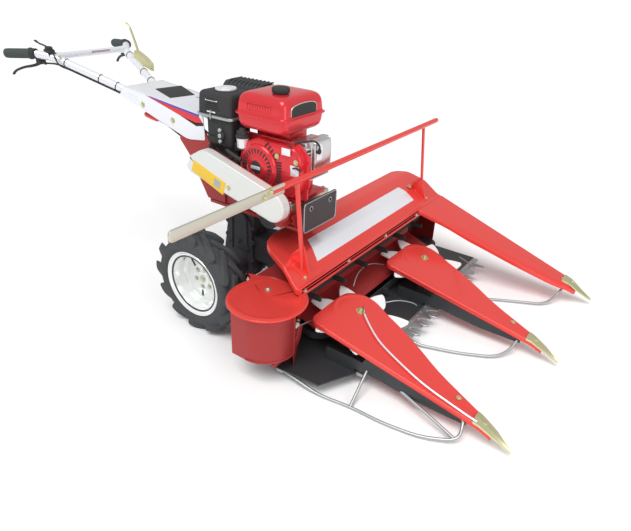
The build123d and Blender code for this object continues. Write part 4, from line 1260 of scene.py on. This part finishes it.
def muffler(data):
    """The guard: a soft-cornered shell along X with raised louvres over it, and its pipe."""
    shell = Shell()
    loop = rounded_loop(
        [(24, 790), (130, 790), (132, 796), (132, 852), (112, 876), (42, 876), (22, 852), (22, 796)], 12, 5
    )
    shell.cushion(loop, 0, 186, 9, ((-128.0, 0, 0), Y, Z), rings=5)
    for k in range(data.louvres):
        x = -112 + 19 * k
        line = rounded_path([(x, 20, 806), (x, 20, 850), (x + 3, 42, 879), (x + 3, 112, 879)], 18, 5)
        shell.tube(line, 3.2, 5.5, 8, up=X)
    for y in (40, 62, 84, 106):
        shell.tube([(57, y, 800), (60, y, 808), (60, y, 852), (56, y, 864)], 5, 3, 8, up=X)
    shell.block((34, 60, 650), (56, 88, 796), 4, 8)
    shell.block((34, 60, 650), (80, 88, 690), 4, 8)
    return shell.spun(
        [(12, -2), (13, 6), (13, 26), (10, 26), (10, 4), (0, 4)], (-126, 104, 812), (-0.9, 0, -0.4), 24
    )


class REAPER_OT_engine(Operator):
    """Build the engine: crankcase, cylinder, blower and starter"""

    bl_idname = "reaper.engine"
    bl_label = "Engine"

    def execute(self, context):
        data = context.scene.reaper_engine
        piece("blower_housing", fan_cover(), "engine_red", 40, ("fan_cover",))
        piece("starter_cover", starter(), "engine_red", 40, ("recoil_starter",))
        # black plates: painted shade in the starter's and housing's slots, in place of openings
        piece("air_slot_shade", starter_slot_shade(data), "black_plastic", 30)
        piece("starter_badge", starter_badge(), "black_plastic", 40)
        piece("badge_band", badge_band(), "white_paint", 40)
        piece("blank_labels", blank_labels(), "white_paint", 40)
        piece("crankcase", crankcase(), "engine_red", 40, ("engine_block",))
        piece("finned_cylinder", cylinder(data), "alloy", 35, ("cylinder_head",))
        piece("plug_and_lead", plug_lead(), "black_plastic", 40)
        piece("plug_shield", white_shield(), "white_paint", 40)
        piece("starter_grip", side_details(), "black_plastic", 40)
        bolts = Shell()
        for x, y, z in (
            (243, -110, 698), (96, -96, 706), (96, -96, 580), (226, -110, 572), (318, -104, 690),
            (318, -104, 610)
        ):
            bolts.bolt((x, y, z), -Y, 11, 5)
        piece("housing_bolts", bolts, "yellow_zinc", 30)
        return {"FINISHED"}


class REAPER_OT_tank(Operator):
    """Build the fuel tank, its cap, blank plates, tap and cup"""

    bl_idname = "reaper.tank"
    bl_label = "Fuel tank"

    def execute(self, context):
        data = context.scene.reaper_engine
        piece("tank_shell", tank(), "engine_red", 40, ("fuel_tank",))
        piece("ribbed_cap", tank_cap(data), "black_plastic", 40, ("fuel_cap",))
        piece("tank_side_panel", tank_plates(), "engine_red", 40)
        piece("front_badge_frame", front_badge(2.5, 0.9), "zinc_steel", 40)
        piece("front_badge", front_badge(0, 1.5), "black_plastic", 40)
        piece("fuel_cup", fuel_cup(), "white_paint", 40)
        piece("fuel_tap", fuel_tap(), "black_plastic", 40)
        return {"FINISHED"}


class REAPER_OT_air_and_exhaust(Operator):
    """Build the air cleaner, control box and muffler"""

    bl_idname = "reaper.air_and_exhaust"
    bl_label = "Air cleaner and muffler"

    def execute(self, context):
        data = context.scene.reaper_engine
        piece("cleaner_lid", cleaner(), "black_plastic", 40, ("air_cleaner",))
        piece("cleaner_knob", cleaner_knob(), "white_paint", 40)
        piece("cleaner_flange", cleaner_flange(), "bare_steel", 40)
        piece("cleaner_marks", cleaner_marks(), "white_paint", 40)
        piece("carburettor_box", control_box(), "black_plastic", 40, ("control_box",))
        piece("choke_knobs", choke_knobs(), "bare_steel", 40)
        piece("muffler_guard", muffler(data), "black_paint", 40, ("muffler",))
        return {"FINISHED"}


# Belt cover, console and handlebars
NOSE = (290.0, 552.0, 52.0)
LOW, BEND, TURN, END = (
    np.array(p, float) for p in ((-560, 70, 786), (-872, 172, 888), (-935, 226, 903), (-1085, 268, 892))
)

ALONG_GRIP = (END - TURN) / np.linalg.norm(END - TURN)
CONSOLE_TOP, CONSOLE_REAR, CONSOLE_FALL = 811.5, -549.0, 0.0977


class ReaperHandles(PropertyGroup):
    """Sizes of the grips and tubes, and the stripes"""

    grip: FloatProperty(
        name="Grip radius", description="Radius of a hand grip in mm", default=18.6, min=12, max=26
    )
    grip_ribs: IntProperty(
        name="Grip rings", description="Rings moulded round a grip", default=22, min=0, max=40
    )
    tube: FloatProperty(
        name="Tube radius", description="Radius of a handle tube in mm", default=16.0, min=8, max=24
    )
    stripes: BoolProperty(name="Stripes", description="Put the coloured stripes on", default=True)


def belt_cover():
    """One outline: straight upper edge, round nose and lower edge, with a bevel towards the right."""
    x, z, r = NOSE
    loop = np.concatenate(
        [
            [(-106, 612), (-90, 590)], arc(x, z, r, -106, 75, 26),
            rounded_loop([(303, 602.3), (-4, 684), (-28, 684), (-96, 645)], [1, 14, 14, 14], 6)
        ]
    )
    return Shell().cushion(loop, 0, 35, 5, right_face(-165.0), ((-60, 628), (288, 553)), 8, step=12)


def cover_label(points, depth):
    """A flat blank label on the belt cover's right face."""
    return Shell().cushion(rounded_loop(points, 2, 3), 0, depth, 0.2, right_face(-200.0))


def console():
    """Two side plates with soft corners and flanged edges, and the top sheet bent over them."""
    side = rounded_loop(
        [(-582, 774), (-198, 667), (-106, 680), (-109, 768), (-549, 811)], [10, 24, 8, 10, 14], 6
    )
    shell = Shell()
    shell.cushion(side, 0, 3, 1.2, right_face(-97.0), ((-540, 790), (-150, 720)), 1)
    line = rounded_path([(-582, 776), (-198, 669), (-108, 682)], 20, 5)
    shell.tube(np.column_stack([line[:, 0], 0 * line[:, 0] - 96, line[:, 1]]), 3.2, 2.2, 8)
    shell.mirror()
    top = rounded_loop([(-549, -99), (-110, -99), (-110, 99), (-549, 99)], 10, 5)
    lift = lambda p: CONSOLE_TOP - (p[:, 0] - CONSOLE_REAR) * CONSOLE_FALL
    return shell.cushion(
        top, lambda p: lift(p) - 3, lift, 1.3, spine=((-500, 0), (-160, 0)), rings=4, step=30
    )


def stripe(points, depth):
    """A flat colour band on both sides of the console."""
    return Shell().cushion(rounded_loop(points, 1, 3), 0, depth, 0.1, right_face(-100.0)).mirror()


def handle_tubes(data):
    """Each tube on its bent line, and the socket at its lower end."""
    line = rounded_path([LOW, BEND, TURN, TURN + ALONG_GRIP * 12], 46, 9)
    shell = Shell().tube(line, data.tube, sides=24)
    shell.tube([(-566, 86, 786), (-520, 88, 782), (-470, 88, 776)], 13, 12, 12, square=0.6)
    return shell.mirror()


def crossbar():
    """A tube between the bends that widens a little at its ends, with welded feet."""
    y = np.linspace(-168, 168, 25)
    r = 13 + 2.2 * ramp(np.abs(y), 130, 166)
    return Shell().tube(np.stack([-872 + 0 * y, y, 894 + 0 * y], -1), r, sides=20, up=X)


def grips(data):
    """Radius along the grip: r + ring waves, a collar at its inner end and a rounded outer end."""
    s = np.linspace(0, 1, 150)
    wave = 0.7 * np.sin(s * data.grip_ribs * 2 * np.pi) * ramp(s, 0.14, 0.18) * (1 - ramp(s, 0.88, 0.94))
    collar = 4.4 * np.exp(-(((s - 0.045) / 0.035) ** 4))
    close = 1 - 0.42 * ramp(s, 0.955, 1.0) ** 2
    r = (data.grip + wave + collar) * close
    path = TURN + ALONG_GRIP * (8 + 141 * s[:, None])
    return Shell().tube(path, r, sides=28).mirror()


def hand_levers():
    """A clamp round the tube, the lever's head and its long flat blade that curves down and out."""
    x, y, z = TURN
    shell = Shell()
    shell.tube([TURN + ALONG_GRIP * k for k in (-12, -10, 8, 10)], [18, 20, 20, 18], sides=24)
    shell.block((x - 4, y - 33, z - 42), (x + 22, y - 3, z - 6), 4, 7, "y")
    blade = rounded_path(
        [
            (x + 8, y - 18, z - 36), (x - 22, y - 4, z - 50), (x - 66, y + 14, z - 58),
            (x - 112, y + 30, z - 76), (x - 128, y + 34, z - 92)
        ],
        30, 7
    )
    t = np.linspace(0, 1, len(blade))
    shell.tube(blade, 9 - 3.2 * ramp(t, 0.05, 0.5), 6 - 2 * t, 14, square=0.7)
    shell.tube([(x + 20, y - 18, z - 30), (x + 34, y - 18, z - 32)], 4, sides=10, up=X)
    return shell.mirror()


def throttle():
    """The thumb control: a saddle round the near tube, its drum and a short bent lever."""
    shell = Shell()
    shell.block((-911, -197, 893), (-873, -168, 921), 5, 8, "y")
    shell.spun([(13, 0), (15, 2), (15, 8), (11, 12), (0, 13)], (-892, -184, 919), (0, 0, 1), 24)
    lever = rounded_path([(-892, -184, 926), (-918, -188, 934), (-944, -192, 938), (-962, -196, 948)], 14, 5)
    t = np.linspace(0, 1, len(lever))
    shell.tube(lever, 5 - 1.5 * t + 4 * ramp(t, 0.8, 1), 3.2, 10)
    return shell


def cables():
    """Both clutch cables with their ferrules and the throttle cable, on the lines of the modelled ones."""
    shell = Shell()
    axis = (LOW - BEND) / np.linalg.norm(LOW - BEND)
    down = np.array([0, 0, -1.0]) + axis * axis[2]
    down /= np.linalg.norm(down)
    side = np.cross(axis, down)
    at = lambda k, t: BEND + (LOW - BEND) * k + (down * math.cos(t) + side * math.sin(t)) * 20.5
    x, y, z = TURN
    clutch = [
        (x + 22, y - 18, z - 35), (x + 35, y - 18, z - 35), at(0.03, 0), at(0.3, 0), at(0.6, 0),
        at(0.88, 0), (-430, 75, 728), (-240, 60, 640), (-150, 48, 500), (-80, 42, 470), (-60, 42, 470)
    ]
    line = rounded_path(clutch, 30, 6)
    shell.tube(line, 3.5, sides=10)
    shell.tube([(x + 20, y - 18, z - 35), (x + 44, y - 18, z - 35)], 5.5, sides=12, up=Z)
    for k in (0.15, 0.62, 0.85):
        centre = BEND + (LOW - BEND) * k
        shell.spun([(15.6, -2), (17.4, -1.6), (17.4, 1.6), (15.6, 2)], centre, axis, 28, closed=True)
    shell.mirror()
    x, y, z = BEND
    t = math.radians(24)
    throttle_line = [
        (x - 2, y + 14, z + 20), (x + 10, y + 14, z + 20), (x + 27, y + 18, z - 3),
        (x + 37, y + 12, z - 26), at(0.2, t), at(0.5, t), at(0.88, t), (-430, 85, 745), (-240, 72, 705),
        (-110, 50, 662), (10, 40, 661), (28, 40, 661)
    ]
    line = rounded_path(throttle_line, 24, 6) * (1, -1, 1)
    return shell.tube(line, 3.0, sides=10)


def tall_lever():
    """The bracket plate with a folded edge, and the long lever with its bent and flattened top."""
    shell = Shell()
    loop = rounded_loop(
        [(-776, 862), (-652, 828), (-645, 856), (-668, 878), (-740, 908), (-764, 902)],
        [10, 8, 8, 16, 12, 10], 6
    )
    shell.cushion(loop, -3, 3, 1.2, ((0, 137.0, 0), X, Z), ((-760, 888), (-670, 850)), 1)
    shell.tube([(-785, 137, 870), (-650, 137, 832)], 6, 3, 10, square=0.6)
    lever = rounded_path(
        [(-735, 144, 872), (-748, 144, 900), (-764, 145, 940), (-790, 146, 996), (-816, 147, 1008)], 18, 6
    )
    t = np.linspace(0, 1, len(lever))
    shell.tube(lever, 6 - 1.5 * t + 3 * ramp(t, 0.86, 1), 3.6 - 1 * ramp(t, 0.86, 1), 12, up=X)
    shell.bolt((-735, 140.5, 878), Y, 12, 8)
    return shell.bolt((-690, 140.5, 866), Y, 10, 6)


def console_bolts():
    """Bolts on both sides of the console, one on the crossbar's foot and one on the belt cover."""
    shell = Shell()
    for x, z in ((-441, 757), (-274, 725)):
        shell.bolt((x, -100, z), -Y, 13, 6)
    shell.mirror()
    shell.bolt((-838, -176, 897), (0.3, -0.4, 0.86), 8, 4)
    shell.bolt((101, -200, 576), -Y, 11, 5)
    return shell


def knob_sleeve():
    """The red knob on the gear rod: an oval section that swells towards its end."""
    a, b = np.array([-484.0, -60, 707.5]), np.array([-404.0, -60, 697.6])
    t = np.linspace(0, 1, 16)
    r = 10.4 + 1.4 * np.sin(t * np.pi) - 5.5 * (1 - ramp(t, 0, 0.12)) - 4 * ramp(t, 0.9, 1)
    return Shell().tube(a + (b - a) * t[:, None], r, sides=20)


class REAPER_OT_belt_cover(Operator):
    """Build the belt cover and its blank label"""

    bl_idname = "reaper.belt_cover"
    bl_label = "Belt cover"

    def execute(self, context):
        piece("belt_hood", belt_cover(), "cream_paint", 40, ("belt_cover",))
        label = cover_label([(-64, 641), (90, 590), (73, 542), (-79, 598)], 0.5)
        piece("yellow_label", label, "yellow_label", 40)
        patch = cover_label([(36, 597), (66, 587), (58, 560), (28, 570)], 0.9)
        piece("label_patch", patch, "bare_steel", 40)
        return {"FINISHED"}


class REAPER_OT_console(Operator):
    """Build the console with its colour bands, blank panel and bolts"""

    bl_idname = "reaper.console"
    bl_label = "Console"

    def execute(self, context):
        data = context.scene.reaper_handles
        piece("console_shell", console(), "white_paint", 40, ("console",))
        bands = (
            ("red_band", "engine_red", 0.6, [(-420, 797), (-131, 765), (-111, 740), (-146, 731)]),
            ("blue_band", "blue_band", 0.8, [(-400, 797), (-127, 770), (-133, 762), (-386, 792)]),
            ("black_band", "black_plastic", 0.7,
             [(-230, 751), (-148, 734), (-110, 744), (-109, 733), (-147, 726)]),
        )
        for name, finish, depth, points in bands if data.stripes else ():
            piece(name, stripe(points, depth), finish, 40)
        panel = rounded_loop([(-460, -18), (-336, -50), (-318, 62), (-444, 106)], 4, 4)
        slope = (
            np.array([0, 0, CONSOLE_TOP + CONSOLE_REAR * CONSOLE_FALL]), np.array([1, 0, -CONSOLE_FALL]), Y
        )
        piece("console_panel", Shell().cushion(panel, 0, 0.9, 0.3, slope), "black_plastic", 40)
        slot = rounded_loop([(-296, 40), (-226, 62), (-222, 76), (-292, 54)], 4, 4)
        piece("console_slot", Shell().cushion(slot, 0, 0.8, 0.3, slope), "bare_steel", 40)
        piece("console_bolts", console_bolts(), "yellow_zinc", 30)
        piece("gear_knob", knob_sleeve(), "red_paint", 40)
        return {"FINISHED"}


class REAPER_OT_handlebars(Operator):
    """Build the tubes, grips, levers, throttle and cables"""

    bl_idname = "reaper.handlebars"
    bl_label = "Handlebars"

    def execute(self, context):
        data = context.scene.reaper_handles
        piece("bent_tubes", handle_tubes(data), "white_paint", 50, ("handle_tubes",))
        piece("cross_tube", crossbar(), "white_paint", 50, ("crossbar",))
        piece("ribbed_grips", grips(data), "grip_rubber", 50, ("hand_grips",))
        piece("lever_blades", hand_levers(), "black_plastic", 45, ("hand_levers",))
        piece("thumb_throttle", throttle(), "black_plastic", 45, ("throttle_lever",))
        piece("cable_run", cables(), "black_plastic", 50, ("control_cables",))
        piece("shift_lever", tall_lever(), "yellow_zinc", 40, ("tall_lever",))
        if data.stripes:
            y = np.linspace(-10, 80, 9)
            for name, slot_name, turn in (("cross_blue", "blue_band", 30), ("cross_red", "engine_red", 8)):
                t = math.radians(turn)
                line = np.stack([-872 + 12.9 * math.cos(t) + 0 * y, y, 894 + 12.9 * math.sin(t) + 0 * y], -1)
                piece(name, Shell().tube(line, 1.0, 2.6, 8, up=X), slot_name, 40)
        return {"FINISHED"}


# Guide rail, bed, gearbox and crop gear
POSTS = ((-167.0, 1), (755.0, -1))
PITCH = 76.2


def guide_bar():
    """The rail: a round tube that is flattened at its right end, where the extension is bolted on."""
    y = np.concatenate([np.linspace(-236, -222, 4), np.linspace(-214, 880, 40), [885, 888]])
    r = np.concatenate([np.full(44, 11.0), [10, 8]])
    shell = Shell().tube(np.stack([372 + 0 * y, y, 660 + 0 * y], -1), r, sides=20, up=X)
    flat = np.array([(372, -303, 660), (372, -270, 660), (372, -240, 660), (372, -222, 660)], float)
    return shell.tube(flat, [5, 5, 6, 10.5], [15, 15, 14.5, 11], 16, up=X, square=0.5)


def guide_extension():
    """A flat bar with softened ends; its two bolts are made in rail_bolts."""
    loop = rounded_loop([(-704, 643), (-240, 643), (-240, 677), (-704, 677)], [14, 4, 4, 14], 6)
    return Shell().cushion(loop, 377, 382, 1.2, ((0, 0, 0), Y, Z), ((-690, 660), (-250, 660)), 1, step=40)


def posts():
    """Each post: a flat bar up to the rail, its foot, a bent strut and a triangular gusset."""
    shell = Shell()
    for y0, side in POSTS:
        shell.tube([(402, y0, 340), (398, y0, 400), (372, y0, 650)], 9, 4.5, 12, up=X, square=0.5)
        foot = rounded_loop([(372, y0 - 22), (432, y0 - 22), (432, y0 + 26), (372, y0 + 26)], 8, 4)
        shell.cushion(
            foot, lambda p: bend(p[:, 0], HEADER_TOP) + 0.5, lambda p: bend(p[:, 0], HEADER_TOP) + 4.5, 1,
            rings=3
        )
        wing = rounded_loop([(340, 378), (430, 324), (402, 430), (394, 430)], 6, 4)
        shell.cushion(wing, -2, 2, 0.8, ((0, y0 + side * 8, 0), X, Z))
        strut = rounded_path([(396, y0, 426), (372, y0 + side * 16, 396), (350, y0 + side * 30, 374)], 10, 4)
        shell.tube(strut, 7, 2.4, 10, up=X, square=0.5)
    return shell


def rail_bolts():
    """Bolts of the extension and of the posts' feet."""
    shell = Shell()
    for y, z in ((-339, 656), (-312, 666)):
        shell.bolt((382, y, z), X, 13, 7)
    for y0, side in POSTS:
        shell.bolt((352, y0 + side * 26, 376), (0.3, 0.1, 0.95), 14, 10)
        shell.bolt((424, y0 - side * 14, 326), (0.56, 0, 0.83), 11, 6)
    return shell


def bed_channels():
    """The two zinc cross rails: channels with a plain top, folded down at both long edges."""
    shell = Shell()
    for x0, x1 in ((268, 300), (44, 76)):
        shell.block((x0, -100, 526), (x1, 128, 531), 1.5, 3)
        shell.block((x0, -100, 511), (x0 + 4, 128, 528), 1, 1.5)
        shell.block((x1 - 4, -100, 511), (x1, 128, 528), 1, 1.5)
    return shell


def bed_details():
    """Angles along both sides of the bed and three welded gussets on its right."""
    shell = Shell()
    shell.block((-100, -97, 440), (340, -88, 452), 2, 3)
    shell.block((-100, 88, 440), (340, 97, 452), 2, 3)
    for x in (120, 220, 318):
        loop = rounded_loop([(-97, 452), (-128, 505), (-97, 505)], 3, 3)
        shell.cushion(loop, 0, 4, 1, ((x, 0, 0), Y, Z))
    return shell


def dark_bolts():
    """The engine's foot bolts, rings round the plate's two holes and bolts on the console bracket."""
    shell = Shell()
    for x in (284, 60):
        for y in (-88, -58, 78, 112):
            shell.bolt((x, y, 531), Z, 13, 8)
    for y in (-58, 58):
        shell.spun([(10, 0), (10, 2), (6.8, 2.4), (6.8, 0.4)], (353, y, 522), X, 24, closed=True)
    for x, z in ((-80, 620), (-52, 590)):
        shell.bolt((x, -97, z), -Y, 12, 6)
    return shell


def plate_edge():
    """The bright rolled rim along the front plate's outline."""
    loop = rounded_loop([(-98, 440), (98, 440), (98, 548), (-98, 548)], 13, 6)
    ring = np.concatenate([loop, loop[:1]])
    return Shell().tube(np.column_stack([0 * ring[:, 0] + 353.6, ring]), 2.2, sides=8, up=X)


def gearbox():
    """Axle flanges with their rings of bolts, ribs, bolts round the joint, and the filler plug."""
    shell = Shell()
    for side in (-1, 1):
        for r, y in ((66, 150), (58, 128), (46, 186)):
            shell.spun(
                [(30, -6), (r, -6), (r, 4), (r - 6, 7), (30, 7)], (0, side * y, 200), Y * side, 40,
                closed=True
            )
        for k in range(6):
            t = 2 * math.pi * k / 6
            shell.bolt((56 * math.cos(t), side * 157, 200 + 56 * math.sin(t)), Y * side, 12, 6)
            shell.tube(
                [
                    (40 * math.cos(t), side * 60, 200 + 40 * math.sin(t)),
                    (40 * math.cos(t), side * 146, 200 + 40 * math.sin(t))
                ],
                3, 9, 8, up=X if abs(math.sin(t)) > 0.5 else Z
            )
        for k in range(7):
            t = math.radians(200 - 38 * k) if k < 6 else math.radians(-60)
            shell.bolt((76 * math.cos(t), side * 56, 205 + 82 * math.sin(t)), Y * side, 11, 5)
        for x, z in ((-58, 300), (-54, 360), (78, 300), (80, 360), (-40, 420), (60, 420)):
            shell.bolt((x, side * 53, z), Y * side, 11, 5)
        shell.tube([(-30, side * 56, 250), (-26, side * 57, 400)], 4, 5, 8, up=X)
        shell.tube([(48, side * 56, 250), (46, side * 57, 400)], 4, 5, 8, up=X)
    return shell.spun([(14, 0), (14, 8), (9, 12)], (-30, 0, 440), (-0.4, 0, 0.9), 6)


def crop_springs():
    """Curved spring wires over the header's mouth, each an arc between two fixed ends."""
    shell = Shell()
    lines = [
        [(436, -384, 100), (440, -344, 156), (452, -280, 182), (462, -190, 170)],
        [(600, 96, 158), (640, 132, 168), (674, 190, 140), (680, 214, 118)],
        [(444, 122, 158), (430, 170, 196), (430, 260, 200), (452, 352, 160)],
        [(560, 330, 150), (620, 350, 160), (676, 380, 130), (690, 420, 80)],
        [(690, 590, 180), (740, 540, 196), (792, 500, 200)]
    ]
    for line in lines:
        shell.tube(rounded_path(line, 80, 8), 2.3, sides=8)
    return shell


def skids():
    """The bent rods under the dividers, with their corners drawn round."""
    shell = Shell()
    lines = [
        [
            (430, -330, 40), (470, -330, 32), (600, -330, 6), (716, -312, 6), (834, -311, 6),
            (958, -294, 9), (1063, -249, 22), (1052, -199, 50), (1046, -196, 66)
        ],
        [(716, -312, 7), (704, -196, 74)], [(835, -196, 56), (950, -225, 40), (1050, -250, 22)],
        [(650, 150, 40), (724, 121, 9), (879, 175, 7), (1005, 238, 9), (1040, 290, 26), (1048, 332, 50)],
        [(640, 560, 40), (706, 545, 9), (880, 650, 7), (1050, 735, 11), (1080, 800, 40), (1092, 843, 76)]
    ]
    for line in lines:
        shell.tube(rounded_path(line, 46, 7), 5.4, sides=12)
    for x, y in ((440, -330), (648, 150), (640, 560)):
        shell.block((x - 14, y - 10, 31), (x + 14, y + 10, 45), 2, 4)
    return shell


def knife():
    """The blade back with rivets, and each blade as a tapered plate with a toothed edge on both sides."""
    shell = Shell()
    shell.block((667, -160, 51), (685, 830, 56), 1, 1.5)
    for k in range(12):
        y = -160 + PITCH * k
        t = np.linspace(0, 1, 13)
        tooth = 1.6 * (np.arange(13) % 2)
        left = np.stack([684 + 44 * t, y + 1 + 30 * t + tooth], -1)
        right = np.stack([684 + 44 * t, y + 75 - 30 * t - tooth], -1)
        shell.cushion(
            np.concatenate([left, right[::-1]]), 51, 53.6, 0.5, spine=((690, y + 38), (722, y + 38))
        )
        for yy in (y + 22, y + 54):
            shell.spun([(4.4, 0), (4.2, 1.6), (2, 2.6)], (676, yy, 56), Z, 12)
    return shell


def guards():
    """Guard fingers: each a rod-like casting that tapers forward and lifts at its tip."""
    shell = Shell()
    shell.block((664, -200, 40), (690, 876, 50), 2, 3)
    y = -170.0
    while y < 870:
        shell.tube(
            [(676, y, 45), (692, y, 45), (720, y, 45.5), (738, y, 47), (743, y, 48)], [12, 12, 7, 4, 1.5],
            [5, 5, 4.5, 3.5, 1.5], 12, square=0.7
        )
        y += PITCH
    return shell


class REAPER_OT_guide_rail(Operator):
    """Build the guide rail, its flat extension, posts and bolts"""

    bl_idname = "reaper.guide_rail"
    bl_label = "Guide rail"

    def execute(self, context):
        piece("rail_tube", guide_bar(), "red_paint", 45, ("guide_bar",))
        piece("flat_extension", guide_extension(), "zinc_steel", 35, ("guide_extension",))
        piece("rail_posts", posts(), "red_paint", 35, ("guide_posts",))
        piece("rail_bolts", rail_bolts(), "yellow_zinc", 30)
        return {"FINISHED"}


class REAPER_OT_bed(Operator):
    """Build the bed's rails, gussets and bolts and the gearbox castings"""

    bl_idname = "reaper.bed"
    bl_label = "Bed and gearbox"

    def execute(self, context):
        piece("bed_channels", bed_channels(), "zinc_steel", 30, ("engine_rails",))
        piece("bed_gussets", bed_details(), "dark_red_paint", 35)
        piece("bed_bolts", dark_bolts(), "bare_steel", 30)
        piece("plate_rim", plate_edge(), "bare_steel", 40)
        piece("gearbox_details", gearbox(), "cast_black", 35)
        return {"FINISHED"}


class REAPER_OT_crop_gear(Operator):
    """Build the spring wires, skid rods, knife and guard fingers"""

    bl_idname = "reaper.crop_gear"
    bl_label = "Crop gear"

    def execute(self, context):
        piece("spring_wires", crop_springs(), "bare_steel", 50)
        piece("skid_rods", skids(), "bare_steel", 50, ("divider_skids",))
        piece("knife_blades", knife(), "bare_steel", 30, ("knife_bar",), "knife")
        piece("guard_fingers", guards(), "bare_steel", 40, ("knife_guards",))
        return {"FINISHED"}


# Stage
CAMERA_AT = [1368.0, -1500.0, 1270.0]


class ReaperStage(PropertyGroup):
    """Camera, lights and floor"""

    lens: FloatProperty(
        name="Lens", description="Focal length of the camera", default=31.34, min=10, unit="CAMERA"
    )
    key: FloatProperty(name="Key light", description="Strength of the main soft light", default=1.9, min=0)
    fill: FloatProperty(
        name="Fill light", description="Power of the soft lamp in front", default=16.0, min=0, unit="POWER"
    )
    sky: FloatProperty(name="Sky", description="Strength of the even light", default=0.55, min=0)
    soft: FloatProperty(
        name="Softness", description="Angle over which the main light spreads", default=math.radians(34),
        subtype="ANGLE"
    )
    floor: FloatVectorProperty(
        name="Floor", description="Colour of the floor", subtype="COLOR", size=3,
        default=(0.96, 0.96, 0.96), min=0, max=1
    )


class REAPER_OT_stage(Operator):
    """Set up the floor, the soft lights and the camera"""

    bl_idname = "reaper.stage"
    bl_label = "Stage"

    def execute(self, context):
        scene = context.scene
        data = scene.reaper_stage
        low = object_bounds()[0]
        mesh = bpy.data.meshes.new("floor")
        reach = 70.0
        corners = [
            (-reach, -reach, low[2]), (reach, -reach, low[2]), (reach, reach, low[2]),
            (-reach, reach, low[2])
        ]
        mesh.from_pydata(corners, [], [(0, 1, 2, 3)])
        mesh.update()
        floor = bpy.data.objects.new("floor", mesh)
        scene.collection.objects.link(floor)
        mat = bpy.data.materials.new("pale_floor")
        mat.use_nodes = True
        shader = mat.node_tree.nodes["Principled BSDF"]
        shader.inputs["Base Color"].default_value = (*data.floor, 1)
        shader.inputs["Roughness"].default_value = 0.95
        shader.inputs["Specular IOR Level"].default_value = 0.1
        mesh.materials.append(mat)
        floor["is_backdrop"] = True
        world = bpy.data.worlds.new("studio")
        world.use_nodes = True
        world.node_tree.nodes["Background"].inputs["Color"].default_value = (1, 1, 1, 1)
        world.node_tree.nodes["Background"].inputs["Strength"].default_value = data.sky
        scene.world = world
        key = bpy.data.lights.new("key_light", "SUN")
        key.energy = data.key
        key.angle = data.soft
        fill = bpy.data.lights.new("fill_light", "AREA")
        fill.energy = data.fill
        fill.size = 1.6
        for lamp, place in ((key, (0.2, -1.3, 3.0)), (fill, (2.6, -1.2, 1.6))):
            obj = bpy.data.objects.new(lamp.name, lamp)
            aim = Vector((0.1, 0.0, 0.4)) - Vector(place)
            obj.location = place
            obj.rotation_euler = aim.to_track_quat("-Z", "Y").to_euler()
            scene.collection.objects.link(obj)
        lens = bpy.data.cameras.new("camera")
        lens.lens = data.lens
        lens.sensor_width = 36.0
        lens.sensor_fit = "HORIZONTAL"
        lens.clip_end = 200
        camera = bpy.data.objects.new("camera", lens)
        right, up, back = (0.8131, 0.5809, 0.0372), (-0.3073, 0.3741, 0.8750), (0.4943, -0.7229, 0.4828)
        place = to_row(CAMERA_AT)
        rows = [(right[k], up[k], back[k], place[k]) for k in range(3)]
        camera.matrix_world = Matrix((*rows, (0, 0, 0, 1)))
        scene.collection.objects.link(camera)
        scene.camera = camera
        scene.view_settings.view_transform = "Standard"
        return {"FINISHED"}


OPERATORS = [
    REAPER_OT_finishes,
    REAPER_OT_wheels,
    REAPER_OT_header,
    REAPER_OT_dividers,
    REAPER_OT_engine,
    REAPER_OT_tank,
    REAPER_OT_air_and_exhaust,
    REAPER_OT_belt_cover,
    REAPER_OT_console,
    REAPER_OT_handlebars,
    REAPER_OT_guide_rail,
    REAPER_OT_bed,
    REAPER_OT_crop_gear,
    REAPER_OT_stage,
]


class REAPER_PT_panel(Panel):
    """Buttons for every group of pieces"""

    bl_idname = "REAPER_PT_panel"
    bl_label = "Reaper"
    bl_space_type = "VIEW_3D"
    bl_region_type = "UI"
    bl_category = "Reaper"

    def draw(self, context):
        for cls in OPERATORS:
            self.layout.operator(cls.bl_idname)


GROUPS = {
    "reaper_wheels": ReaperWheels,
    "reaper_header": ReaperHeader,
    "reaper_dividers": ReaperDividers,
    "reaper_engine": ReaperEngine,
    "reaper_handles": ReaperHandles,
    "reaper_stage": ReaperStage,
}


def register():
    """Add the classes to Blender and one property group for each kind to the scene."""
    for cls in (*GROUPS.values(), *OPERATORS, REAPER_PT_panel):
        bpy.utils.register_class(cls)
    for name, cls in GROUPS.items():
        setattr(bpy.types.Scene, name, PointerProperty(type=cls))


def unregister():
    """Take everything away again, in the opposite order."""
    for name in GROUPS:
        delattr(bpy.types.Scene, name)
    for cls in reversed((*GROUPS.values(), *OPERATORS, REAPER_PT_panel)):
        bpy.utils.unregister_class(cls)


def main():
    """Build the whole machine in order."""
    register()
    for cls in OPERATORS:
        area, name = cls.bl_idname.split(".")
        getattr(getattr(bpy.ops, area), name)()


if __name__ == "__main__":
    main()
